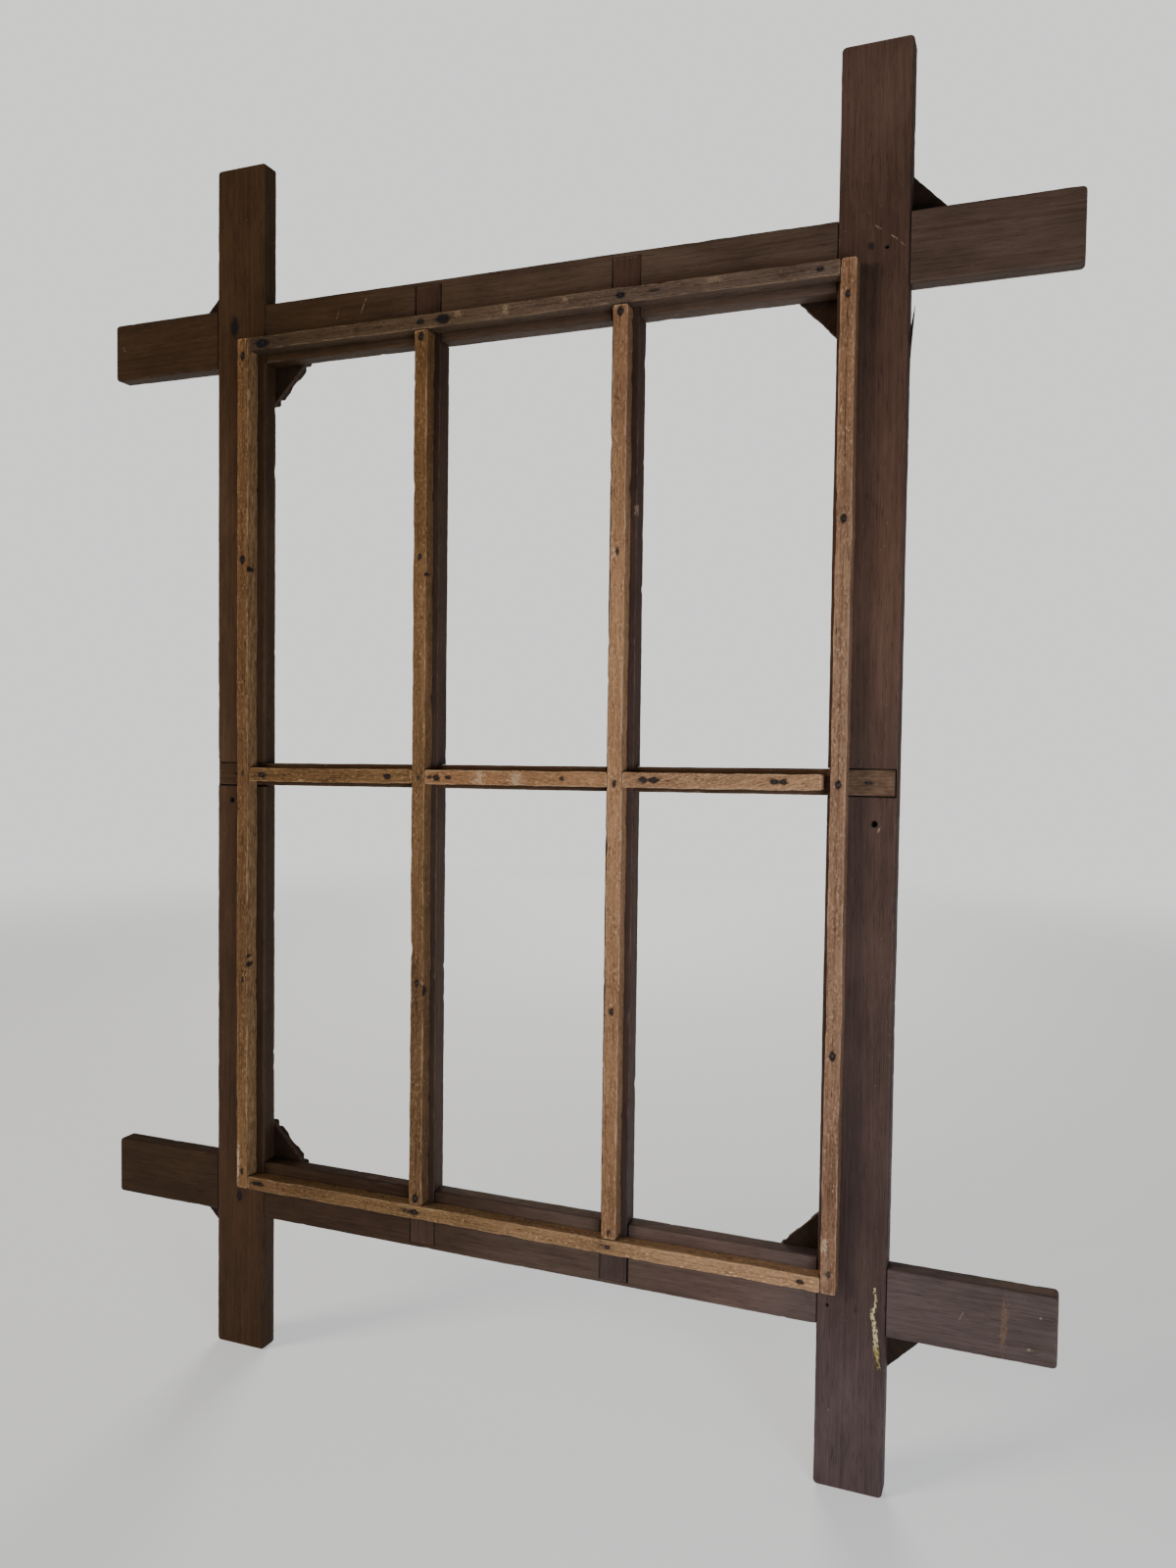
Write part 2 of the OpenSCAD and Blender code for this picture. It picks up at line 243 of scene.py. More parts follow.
def cut_outline(half, back_round, front_round, step, sides, marks=()):
    """Outline of a bar in cut, from left to right along the back, down the right side, back along the front
    and up the left side, with quarter rounds at its four edges. Each point has its place across, the share
    that the back face has in its depth, and its depth below the face that it belongs to."""
    clear = 1.4 * max(back_round, front_round)
    inner = spaced(-half + clear, half - clear, step, marks)

    def face(radius):
        run = radius * (1 - np.cos(ARC))
        drop = radius * (1 - np.sin(ARC))
        return (np.concatenate([-half + run, inner, half - run[::-1]]),
                np.concatenate([drop, 0 * inner, drop[::-1]]))

    back, back_drop = face(back_round)
    front, front_drop = face(front_round)
    down = np.arange(1, sides + 1) / (sides + 1)
    across = np.concatenate([back, np.full(sides, half), front[::-1], np.full(sides, -half)])
    share = np.concatenate([np.ones(len(back)), 1 - down, np.zeros(len(back)), down])
    drop = np.concatenate([back_drop, (1 - down) * back_round - down * front_round,
                           -front_drop[::-1], down * back_round - (1 - down) * front_round])
    return across, share, drop, len(back)


def closed_tube(rings, columns, sides):
    """Joins rings of points, and what is written beside each point, into one skin. Each end is closed by a
    grid of straight lines from its back edge to its front edge."""
    stations, around, width = rings.shape
    index = np.arange(stations * around).reshape(stations, around)
    values = [rings.reshape(-1, width)]
    faces = [ring_faces(index)[0]]
    total = stations * around
    down = (np.arange(1, sides + 1) / (sides + 1))[:, None, None]
    for end, turn in ((0, -1), (stations - 1, 1)):
        cap = np.empty((sides + 2, columns), int)
        cap[0] = index[end, :columns]
        cap[-1] = index[end, columns + sides:2 * columns + sides][::-1]
        cap[1:-1, -1] = index[end, columns:columns + sides]
        cap[1:-1, 0] = index[end, 2 * columns + sides:][::-1]
        cap[1:-1, 1:-1] = total + np.arange(sides * (columns - 2)).reshape(sides, columns - 2)
        back = rings[end, 1:columns - 1]
        front = rings[end, columns + sides + 1:2 * columns + sides - 1][::-1]
        values.append(((1 - down) * back + down * front).reshape(-1, width))
        quads = np.stack([cap[:-1, :-1], cap[:-1, 1:], cap[1:, 1:], cap[1:, :-1]], -1).reshape(-1, 4)
        faces.append(quads[:, ::turn])
        total += sides * (columns - 2)
    return np.concatenate(values), np.concatenate(faces)


def worn_bar(node, along, seed, laps=(), bores=(), dents=(), bites=(), arris=(1.2, 0.8), ends=(2.4, 1.0),
             wander=0.12, nicks=16, step=1.6, sides=5, slope=0):
    """Skin of a sawn bar in the place of its CAD node: the cut outline carried along the bar's length, and
    sheared by the slope of a bar that doesn't lie level.
    A lap (from, to, low, high, face) sets its face down to the middle of the thickness over that patch.
    A bore (along, across, radius, depth) bends the net of points into circles and drops the inner ones.
    A dent (along, across, radius, depth) presses a round hollow into the back.
    A bite (from, to, side, depth) breaks that much off one long edge of the back half.
    The long edges are nicked at seeded spots, and beside each point stand its wear, high along rubbed edges,
    and its share of the back."""
    rng = np.random.default_rng(seed)
    low, high = (np.array(corner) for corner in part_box(node))
    centre = (low + high) / 2
    over = 2 - along
    half = ((high - low)[over] - abs(slope) * (high - low)[along]) / 2
    thick = (high - low)[1]
    bores, dents = ([(spot, place - slope * (spot - centre[along]), *rest) for spot, place, *rest in group]
                    for group in (bores, dents))
    lift = np.array([-0.9, -0.3, 0, 0, 0.3, 0.9]) * MM + np.array([0, 0, -1, 1, 0, 0]) * HAIR
    ring = np.array([-1.7, -1.3, -1, -1, -0.5, 0, 0.5, 1, 1, 1.3, 1.7])
    lip = np.array([0, 0, -1, 1, 0, 0, 0, -1, 1, 0, 0]) * HAIR
    end_round, face_round = ends[0] * MM, ends[1] * MM
    quarter = np.concatenate([end_round * (1 - np.cos(ARC)), face_round * (1 - np.cos(ARC))])
    length_marks = np.concatenate([
        low[along] + quarter, high[along] - quarter,
        *(edge + lift for lap in laps for edge in lap[:2]),
        *(bore[0] + ring * bore[2] + lip for bore in bores),
        *(dent[0] + np.array([-1, -0.5, 0, 0.5, 1]) * dent[2] for dent in dents)])
    width_marks = np.concatenate([
        [0.0],
        *(edge - centre[over] + lift for lap in laps for edge in lap[2:4]),
        *(bore[1] - centre[over] + ring * bore[2] + lip for bore in bores),
        *(dent[1] - centre[over] + np.array([-1, -0.5, 0, 0.5, 1]) * dent[2] for dent in dents)])
    reach = half - 1.4 * max(arris) * MM
    width_marks = width_marks[np.abs(width_marks) < reach]
    across, share, drop, columns = cut_outline(
        half, arris[0] * MM, arris[1] * MM, step * MM, sides, width_marks)
    stations = spaced(low[along], high[along], step * MM, length_marks)

    length = np.repeat(stations[:, None], len(across), axis=1)
    width = np.repeat(across[None, :], len(stations), axis=0)
    back = np.full(length.shape, low[1])
    front = np.full(length.shape, high[1])
    for start, stop, left, right, face in laps:
        place = width + centre[over]
        patch = (length > start) & (length < stop) & (place > left) & (place < right)
        (back if face == BACK else front)[patch] = centre[1]
    depth = share * back + (1 - share) * front + drop

    flat = share * low[1] + (1 - share) * high[1] + drop
    on_back = share == 1
    wear = np.zeros(length.shape)
    for number, (side, face) in enumerate([(-1, BACK), (1, BACK), (-1, FRONT), (1, FRONT)]):
        edge_y = low[1] if face == BACK else high[1]
        away = np.hypot(across - side * half, flat - edge_y)
        rub = 0.5 + 0.5 * ripple(stations, 130 * MM, seed + number)
        spots = rng.uniform(low[along], high[along], nicks)
        depths = rng.uniform(0.1, 0.7, nicks) ** 2 * NICK_DEPTH
        reaches = rng.uniform(0.8, 4.0, nicks) * MM
        nick = (depths * np.exp(-((stations[:, None] - spots) / reaches) ** 2)).sum(axis=1)
        nick = nick + EDGE_WAVER * (1 + ripple(stations, 9 * MM, seed + 20 + number))
        shift = nick[:, None] * np.exp(-(away / EDGE_REACH) ** 2)
        width = width - 0.7 * side * shift
        depth = depth - 0.7 * face * shift
        rubbed = (0.35 + 0.65 * rub + 500 * nick)[:, None]
        wear = np.maximum(wear, np.clip(rubbed, 0, 1.2) * np.exp(-away / EDGE_RUB))

    for start, stop, side, deep in bites:
        broken = (length > start) & (length < stop) & (share > 0.45) & (side * width > half - 1.2 * MM)
        width = width - side * deep * broken
    for spot, place, radius, deep in bores:
        p, q = length - spot, width + centre[over] - place
        square = np.maximum(np.abs(p), np.abs(q))
        circle = square / np.maximum(np.hypot(p, q), 1e-9)
        bend = on_back * (1 + (circle - 1) * rise((2.6 * radius - square) / (1.6 * radius))) + ~on_back
        length, width = spot + p * bend, place + q * bend - centre[over]
        depth = depth + deep * (on_back & (square <= radius))
    for spot, place, radius, deep in dents:
        away = np.hypot(length - spot, width + centre[over] - place)
        depth = depth + deep * on_back * np.exp(-(away / radius) ** 2)

    depth = depth + wander * MM * 0.4 * ripple(stations, 70 * MM, seed + 7)[:, None]
    bow = wander * MM * (ripple(stations, 230 * MM, seed + 8) + 0.5 * ripple(stations, 37 * MM, seed + 9))
    pinch = 0.5 * wander * MM * ripple(stations, 48 * MM, seed + 10)
    width = width + bow[:, None] + pinch[:, None] * width / half
    near_end = np.minimum(length - low[along], high[along] - length)
    width = width * (1 - drawn_in(near_end, end_round) / half)
    depth = centre[1] + (depth - centre[1]) * (1 - 2 * drawn_in(near_end, face_round) / thick)
    wear = np.maximum(wear, 0.8 * np.exp(-near_end / END_RUB))

    rings = np.zeros(length.shape + (5,))
    rings[..., along] = length
    rings[..., over] = width + centre[over] + slope * (length - centre[along])
    rings[..., 1] = depth
    rings[..., 3] = wear
    rings[..., 4] = share
    return closed_tube(rings, columns, sides)


def near_lines(points, lines, width):
    """How close points lie to straight lines (x0, z0, x1, z1) seen from the back: 1 on a line, and less as
    exp(-(distance / width)^2) beside it. Only points on the back half count."""
    lines = np.array(lines, float).reshape(-1, 4)
    start, run = lines[:, :2], lines[:, 2:] - lines[:, :2]
    offset = points[:, None, [0, 2]] - start
    along = np.clip((offset * run).sum(-1) / (run ** 2).sum(-1), 0, 1)
    away = np.linalg.norm(offset - along[..., None] * run, axis=-1).min(axis=1)
    return points[:, 4] * np.exp(-(away / width) ** 2)


def near_spots(points, spots, along):
    """Blots round spots (x, z, strength, reach, width) on the back, drawn out along the grain: the strength
    times exp(-(along / reach)^2 - (across / width)^2), and the strongest blot counts."""
    offset = points[:, None, [0, 2]] - spots[:, :2]
    run, side = (offset[..., 0], offset[..., 1]) if along == LEVEL else (offset[..., 1], offset[..., 0])
    marks = spots[:, 2] * np.exp(-(run / spots[:, 3]) ** 2 - (side / spots[:, 4]) ** 2)
    return points[:, 4] * marks.max(axis=1)


def on_side(points, axis, place, slack=1.0 * MM):
    """Which points belong to the side face of a bar that lies at a place along an axis."""
    return (np.abs(points[:, axis] - place) < slack) & (points[:, 4] > 0) & (points[:, 4] < 1)


def edges_of(node, along):
    """The two upright or the two level edges of a piece, as lines (x0, z0, x1, z1) seen from the back."""
    low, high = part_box(node)
    if along == UPRIGHT:
        return [(x, low.z, x, high.z) for x in (low.x, high.x)]
    return [(low.x, z, high.x, z) for z in (low.z, high.z)]


def seam_dirt_and_foot_shade(points, seams, shaded_foot, strength=0.6, width=0.45 * MM):
    """Dirt along the seams of the joints, and a weaker, wider line of painted shade, with some dirt, along
    the foot of the strips.
    """
    return np.maximum(strength * near_lines(points, seams, width), 0.4 * near_lines(points, shaded_foot, 1.0 * MM))


def add_piece(name, points, faces, material, slot, *nodes, **notes):
    """Makes a mesh of the skin, with its faces outwards and its notes as point attributes, in place of nodes.
    The faces come as arrays, and the sign of the volume that they enclose says which way they point."""
    volume = 0
    for group in faces:
        corners = points[group, :3]
        first = corners[:, 0]
        for number in range(1, group.shape[1] - 1):
            volume += (first * np.cross(corners[:, number] - first, corners[:, number + 1] - first)).sum()
    if volume < 0:
        faces = [group[:, ::-1] for group in faces]
    mesh = bpy.data.meshes.new(name)
    mesh.from_pydata(points[:, :3].tolist(), [], [face for group in faces for face in group.tolist()])
    mesh.shade_smooth()
    for note, value in notes.items():
        mesh.attributes.new(note, "FLOAT", "POINT").data.foreach_set("value", value.astype(np.float32))
    mesh.materials.append(material)
    piece = bpy.data.objects.new(name, mesh)
    bpy.context.scene.collection.objects.link(piece)
    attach(piece, "root")
    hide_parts(*nodes)


def node_group(name, inputs, outputs):
    """An empty shader group with the named sockets, and its two end nodes."""
    tree = bpy.data.node_groups.new(name, "ShaderNodeTree")
    for direction, sockets in (("INPUT", inputs), ("OUTPUT", outputs)):
        for socket, kind in sockets.items():
            tree.interface.new_socket(socket, in_out=direction, socket_type="NodeSocket" + kind)
    return tree, tree.nodes.new("NodeGroupInput"), tree.nodes.new("NodeGroupOutput")


def times(tree, value, *others):
    """Product of values or links."""
    for other in others:
        value = reckon(tree, "MULTIPLY", value, other)
    return value


def add_up(tree, first, *rest):
    """Sum of values or links, each times its weight, from pairs (value, weight)."""
    total = times(tree, *first)
    for value, weight in rest:
        total = reckon(tree, "MULTIPLY_ADD", value, weight, total)
    return total


def vector_step(tree, operation, *vectors, output=0):
    """One step of arithmetic on places or directions."""
    return put(tree, "VectorMath", dict(enumerate(vectors)), operation=operation).outputs[output]


def speckle(tree, vector, across, along, detail=2, rough=0.5, output=0):
    """Noise whose grains measure across by along, in millimetres, with the grain of the wood along Z."""
    scale = (1 / (across * MM), 1 / (across * MM), 1 / (along * MM))
    scaled = vector_step(tree, "MULTIPLY", vector, scale)
    sockets = {"Vector": scaled, "Scale": 1, "Detail": detail, "Roughness": rough}
    return put(tree, "TexNoise", sockets).outputs[output]


def build_wood_grain():
    """Solid wood with its pith along Z: growth rings by the distance from the pith, wavered by slow noise,
    streaks and fibres drawn out along the grain, short dark pores, and a slow cloudy change of tone.
    The tone adds up from shares of all of these but the pores."""
    tree, given, result = node_group(
        "Wood grain", {"Vector": "Vector", "Ring Width": "Float", "Waver": "Float"},
        {"Tone": "Float", "Pores": "Float", "Relief": "Float"})
    vector, ring_width, waver = given.outputs[:3]
    drift = vector_step(tree, "SUBTRACT", speckle(tree, vector, 45, 330, output="Color"), (0.5, 0.5, 0.5))
    drift = put(tree, "VectorMath", {0: drift, "Scale": waver}, operation="SCALE").outputs[0]
    bent = vector_step(tree, "ADD", vector, drift)
    radius = vector_step(tree, "LENGTH", vector_step(tree, "MULTIPLY", bent, (1, 1, 0)), output="Value")
    rings = reckon(tree, "POWER", reckon(tree, "FRACT", reckon(tree, "DIVIDE", radius, ring_width)), 2.2)
    streaks = ramp(tree, speckle(tree, bent, 1.7, 75, 4, 0.6), 0.25, 0.75)
    fibres = ramp(tree, speckle(tree, bent, 0.42, 20), 0.3, 0.7)
    pores = ramp(tree, speckle(tree, bent, 0.42, 10, 1), 0.60, 0.70)
    cloud = ramp(tree, speckle(tree, vector, 17, 48, 3, 0.6), 0.25, 0.75)
    early_wood = reckon(tree, "SUBTRACT", 1, rings)
    tone = add_up(tree, (cloud, 0.40), (streaks, 0.28), (fibres, 0.20), (early_wood, 0.12))
    relief = add_up(tree, (streaks, 0.5), (fibres, 0.5), (pores, -0.9))
    give(tree, result, {"Tone": tone, "Pores": pores, "Relief": relief})
    return tree


def build_wear_dirt_and_light():
    """What use leaves on wood, with light and shade painted in among it: rubbed pale edges, pale faces of
    painted light and sheen, sparse pale specks, dirt in seams, painted shade in corners, recesses and on
    shaded faces, and blue-black stain round iron, each with an edge broken by fine noise."""
    tree, given, result = node_group(
        "Wear, dirt and painted light",
        {"Wood": "Color", "Rubbed": "Color", "Vector": "Vector", "Wear": "Float", "Grime": "Float",
         "Stain": "Float"},
        {"Color": "Color", "Rubbing_And_Light": "Float", "Staining": "Float"})
    wood, rubbed, vector, wear, grime, stain = given.outputs[:6]
    broken = reckon(tree, "SUBTRACT", speckle(tree, vector, 1.5, 7, 3, 0.6), 0.5)
    ragged = reckon(tree, "SUBTRACT", speckle(tree, vector, 1.1, 2.4, 3, 0.65), 0.5)
    speck = ramp(tree, speckle(tree, vector, 1.3, 2.2, 1), 0.745, 0.79)
    rubbing_and_light = ramp(tree, reckon(tree, "MULTIPLY_ADD", broken, 1.5, wear), 0.3, 1.1)
    rubbing_and_light = reckon(tree, "MAXIMUM", rubbing_and_light, times(tree, speck, 0.7))
    dirt_and_shade = ramp(tree, reckon(tree, "MULTIPLY_ADD", broken, 0.6, grime), 0.1, 1.0)
    staining = ramp(tree, reckon(tree, "MULTIPLY_ADD", ragged, 1.2, stain), 0.25, 0.85)
    staining = times(tree, staining, ramp(tree, stain, 0.02, 0.2))
    # The pale blend is rubbed wear, and on some faces painted light and painted sheen.
    colour = blend(tree, times(tree, rubbing_and_light, 0.65), wood, rubbed)
    # The dark blend is dirt, and painted shade in corners, recesses and on shaded faces.
    colour = blend(tree, times(tree, dirt_and_shade, 0.8), colour, (0.010, 0.0075, 0.006))
    colour = blend(tree, times(tree, staining, 0.92), colour, (0.007, 0.0065, 0.0075))
    give(tree, result, {"Color": colour, "Rubbing_And_Light": rubbing_and_light, "Staining": staining})
    return tree


def build_mark():
    """A mark in the box from -1 to 1: full along its middle line and broken towards its edges and ends by
    grains of about a millimetre, which are read at the place itself."""
    tree, given, result = node_group("Mark", {"Vector": "Vector", "Place": "Vector"}, {"Mask": "Float"})
    vector, place = given.outputs[:2]
    parts = put(tree, "SeparateXYZ", {0: vector_step(tree, "ABSOLUTE", vector)}).outputs
    across, deep, along = (ramp(tree, part, 1.0, full) for part, full in zip(parts, (0.2, 0.8, 0.3)))
    ragged = reckon(tree, "SUBTRACT", speckle(tree, place, 0.9, 1.6, 3, 0.65), 0.5)
    mask = reckon(tree, "MULTIPLY_ADD", ragged, 4, times(tree, across, deep, along, 0.8))
    inside = reckon(tree, "GREATER_THAN", times(tree, across, along), 0.02)
    give(tree, result, {"Mask": times(tree, ramp(tree, mask, 0.3, 0.8), inside)})
    return tree


def build_sawn_surface():
    """Wood left rough by the saw: dark dirt in the hollows between torn fibres, pale tips on the fibres and
    thin dark lines along the grain, stronger in some patches than in others."""
    tree, given, result = node_group(
        "Sawn surface", {"Wood": "Color", "Pale": "Color", "Vector": "Vector", "Amount": "Float"},
        {"Color": "Color"})
    wood, pale, vector, amount = given.outputs[:4]
    torn = speckle(tree, vector, 1.0, 2.4, 3, 0.65)
    lines = ramp(tree, speckle(tree, vector, 0.5, 34), 0.53, 0.68)
    patch = ramp(tree, speckle(tree, vector, 6, 15), 0.35, 0.65)
    amount = times(tree, amount, reckon(tree, "MULTIPLY_ADD", patch, 0.6, 0.4))
    hollows = reckon(tree, "MAXIMUM", ramp(tree, torn, 0.50, 0.66), times(tree, lines, 0.7))
    tips = ramp(tree, torn, 0.45, 0.30)
    dark = blend(tree, 1, wood, (0.36, 0.31, 0.27), "MULTIPLY")
    colour = blend(tree, times(tree, hollows, amount), wood, dark)
    give(tree, result, {"Color": blend(tree, times(tree, tips, amount), colour, pale)})
    return tree


wood_grain = build_wood_grain()
wear_dirt_and_light = build_wear_dirt_and_light()
mark = build_mark()
sawn_surface = build_sawn_surface()
MARK_DEPTH, GRAIN_DEPTH = 3 * MM, 0.35 * MM
SEED_STEP = 0.731


def tint_along(tree, place, stops):
    """A tint that changes smoothly along a piece between stops (place in millimetres, red, green, blue),
    which carries both the piece's own tone and painted light and shade.
    """
    (start, *tint), *rest = stops
    for end, *next_tint in rest:
        tint = blend(tree, ramp(tree, place, start * MM, end * MM), tint, next_tint)
        start = end
    return tint


def old_wood(node, along, seed, deep, light, rubbed, ring=2.6, pith=(22, 38), waver=9, lean=(0.5, 0.4),
             pore_depth=0.4, roughness=0.5, relief=0.35, sawn=0, tone_and_light_tints=(), marks=()):
    """Aged wood for one piece: its grain turned along the piece, with the pith (across, deep) to one side of
    its middle and leaning a few degrees, two tones, dark pores, wear and painted light, dirt and painted
    shade, iron stain and single marks. The amount sawn roughens it, and the tints (place, red, green, blue)
    change its tone along the piece, partly as its own tone and partly as painted light and shade.
    A mark is (x, z, length, width, turn, colour, strength), in millimetres and degrees, on the back face."""
    material, tree, shader = new_material(node + "_wood")
    low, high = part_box(node)
    place = put(tree, "TexCoord").outputs["Object"]
    turn = math.radians(lean[0]), math.radians(lean[1] + GRAIN_TURN.get(along, along)), 0
    grain_place = put(tree, "Mapping", {
        "Vector": vector_step(tree, "SUBTRACT", place, (low + high) / 2), "Rotation": turn,
        "Location": (pith[0] * MM, pith[1] * MM, SEED_STEP * seed)}).outputs[0]
    grain = put(tree, "Group", {"Vector": grain_place, "Ring Width": ring * MM, "Waver": waver * MM},
                node_tree=wood_grain).outputs
    colour = blend(tree, grain["Tone"], deep, light)
    pore_colour = [0.25 * channel for channel in deep]
    colour = blend(tree, times(tree, grain["Pores"], pore_depth), colour, pore_colour)
    if sawn:
        colour = put(tree, "Group", {"Wood": colour, "Pale": rubbed, "Vector": grain_place, "Amount": sawn},
                     node_tree=sawn_surface).outputs["Color"]
    if tone_and_light_tints:
        # The tints along the piece are partly its own tone and partly painted light and shade.
        run = put(tree, "SeparateXYZ", {0: place}).outputs["Z" if along == UPRIGHT else "X"]
        colour = blend(tree, 1, colour, tint_along(tree, run, tone_and_light_tints), "MULTIPLY")
    notes = {note.title(): put(tree, "Attribute", attribute_name=note).outputs["Fac"]
             for note in ("wear", "grime", "stain")}
    worn_and_lit = put(tree, "Group", {"Wood": colour, "Rubbed": rubbed, "Vector": grain_place, **notes},
               node_tree=wear_dirt_and_light).outputs
    colour = worn_and_lit["Color"]
    for x, z, length, width, angle, tint, strength in marks:
        box = put(tree, "Mapping", {
            "Vector": place, "Location": (x * MM, low.y, z * MM), "Rotation": (0, math.radians(angle), 0),
            "Scale": (width / 2 * MM, MARK_DEPTH, length / 2 * MM)}, vector_type="TEXTURE").outputs[0]
        mask = put(tree, "Group", {"Vector": box, "Place": place}, node_tree=mark).outputs["Mask"]
        colour = blend(tree, times(tree, mask, strength), colour, tint)
    gloss = reckon(tree, "MULTIPLY_ADD", grain["Relief"], -0.10, roughness + 0.05)
    gloss = reckon(tree, "MULTIPLY_ADD", worn_and_lit["Rubbing_And_Light"], 0.08, gloss)
    gloss = reckon(tree, "MULTIPLY_ADD", worn_and_lit["Staining"], 0.15, gloss)
    bump = put(tree, "Bump", {"Strength": relief, "Distance": GRAIN_DEPTH, "Height": grain["Relief"]})
    give(tree, shader, {"Base Color": colour, "Roughness": gloss, "Specular IOR Level": 0.12,
                        "Normal": bump.outputs["Normal"]})
    return material


def dress(node, along, slot, points, faces, wood, wear, grime, stain):
    """Puts the skin of one wooden piece in the place of its node, in aged wood of its own."""
    add_piece("worn_" + node, points, [faces], old_wood(node, along, **wood), slot, node,
              wear=wear, grime=grime, stain=stain)


def nail_spots(node, side):
    """Where the nails of a group stand, as (x, z): their points are the deepest vertices on that side."""
    places = np.array([vertex.co for vertex in frame["nodes"][node].data.vertices])
    deepest = (places[:, 1] * side).max()
    tips = places[places[:, 1] * side > deepest - 0.02 * MM]
    return np.unique(np.round(tips[:, [0, 2]], 5), axis=0)


def blots(spots, strength, reach, width, seed):
    """A blot (x, z, strength, reach, width) at each spot, a fifth stronger or weaker by a seeded share."""
    share = np.random.default_rng(seed).uniform(0.8, 1.2, (len(spots), 1))
    return np.hstack([spots, strength * share, reach * share, width * share])


SEAM = 0.25 * MM
WHOLE = (-1, 1)
HOLE_DEPTH = 8 * MM
BROKEN_LIP = 0.5 * MM
NAIL_DENT = (1.6 * MM, 0.35 * MM)
# Strengths of the painted shade in the mouths of the holes and on the left stile's inner side.
HOLE_SHADE, SIDE_SHADE = 2.34, 0.45
SPLINTER_Z, SPLINTER_SIZE = 612 * MM, (3.2 * MM, 37 * MM, 1.9 * MM)
PALE = (0.27, 0.19, 0.13)
CREAM, OCHRE = (0.42, 0.37, 0.20), (0.29, 0.23, 0.07)
lap_nails = nail_spots("lap_nails", FRONT)
rim_nails = nail_spots("rim_stop_nails", FRONT)
bar_nails = nail_spots("bar_stop_nails", FRONT)
hanging = next(mount for mount in frame["record"]["mounts"] if mount["name"] == "hanging_holes")
hole_x = hanging["dims"]["spacing_x_mm"] / 2 * MM
hole_r = hanging["dims"]["hole_r_mm"] * MM
hole_z = hanging["pos_m"][2]
cross_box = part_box("cross_bar")
cross_low, cross_high = cross_box
strip_ends = [sum(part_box(stop), Vector()) / 2 for stop in ("left_cross_stop", "right_cross_stop")]
cross_slope = (strip_ends[1].z - strip_ends[0].z) / (strip_ends[1].x - strip_ends[0].x)


def sloping_edges(box, x):
    """Lower and upper edge, at a place x, of a piece that lies along the sloping cross bar."""
    low, high = box
    half = (high.z - low.z - cross_slope * (high.x - low.x)) / 2
    middle_z = (low.z + high.z) / 2 + cross_slope * (x - (low.x + high.x) / 2)
    return middle_z - half, middle_z + half


def splinter(root, reach, length, width):
    """A sliver that peels off upwards from its root (x, y, z): an eight-sided tube whose half width falls
    with the cube of the way along it, and which stands off by the way to the power of one and a half."""
    way = np.linspace(0, 1, 16)[:, None]
    angle = np.radians(225 + 45 * np.arange(8))
    half = width / 2 * (1.05 - way ** 3)
    rings = np.zeros((len(way), len(angle), 5))
    rings[..., 0] = root[0] + reach * way ** 1.5 + half * np.cos(angle)
    rings[..., 1] = root[1] + 0.5 * half * np.sin(angle)
    rings[..., 2] = root[2] + length * way
    rings[..., 4] = 1
    return closed_tube(rings, 3, 1)


# The tints along the stiles and the right stile's cooler colours are partly the woods' own tone and partly
# painted light and shade, with a cool painted sheen near the foot of the right stile.
stile_woods = {
    "left_stile": dict(
        seed=1, deep=(0.024, 0.0115, 0.0050), light=(0.070, 0.036, 0.0175), rubbed=(0.12, 0.066, 0.034),
        pith=(24, 40),
        tone_and_light_tints=[(60, 0.90, 0.88, 0.92), (250, 1.08, 1.12, 1.26), (520, 1.28, 1.34, 1.48),
                (715, 0.92, 0.95, 0.92)]),
    "right_stile": dict(
        seed=2, deep=(0.032, 0.0165, 0.0115), light=(0.088, 0.049, 0.036), rubbed=(0.15, 0.090, 0.064),
        pith=(-30, 34),
        tone_and_light_tints=[(30, 1.04, 1.27, 1.68), (140, 0.78, 0.82, 0.94), (340, 0.82, 0.80, 0.82),
                (520, 1.20, 1.14, 1.10), (700, 0.86, 0.86, 0.84), (775, 1.22, 1.26, 1.28)],
        marks=[(207.5, 690.2, 6, 1.0, -52, PALE, 0.5), (215.2, 684.5, 7, 1.1, -55, PALE, 0.5),
               (220.5, 679.8, 5, 0.9, -48, PALE, 0.35), (214.5, 369, 5, 2.2, 20, PALE, 0.55),
               (194, 44, 2.5, 1.8, 0, PALE, 0.5), (217.6, 116, 5, 1.8, 0, CREAM, 0.8),
               (218.4, 111.5, 9, 1.8, -8, CREAM, 0.8), (217.9, 106.5, 8, 2.0, 12, CREAM, 0.9),
               (216.8, 102.8, 7, 3.6, 0, CREAM, 0.9), (217.6, 98, 11, 3.2, -8, CREAM, 0.9),
               (218.2, 92.5, 12, 4.0, -4, CREAM, 0.9), (218.8, 87, 12, 4.2, -4, CREAM, 0.9),
               (219.4, 81.5, 11, 3.4, -8, OCHRE, 0.85), (220.4, 76, 10, 2.2, -10, OCHRE, 0.7)])}
crossing_stains = {"left_stile": [(0.9, 5, 2.6), (1.05, 8, 4)],
                   "right_stile": [(0.6, 2.0, 1.7), (0.6, 1.6, 1.4), (0.8, 2.8, 2.2)]}
pocket_gaps = {"left_stile": (0.8 * MM, 0.3 * MM), "right_stile": (0.35 * MM, 0.35 * MM)}
old_holes = {"left_stile": [], "right_stile": [(679.5 * MM, 212 * MM, 0.95 * MM, 4 * MM),
                                               (103 * MM, 192 * MM, 0.85 * MM, 4 * MM)]}
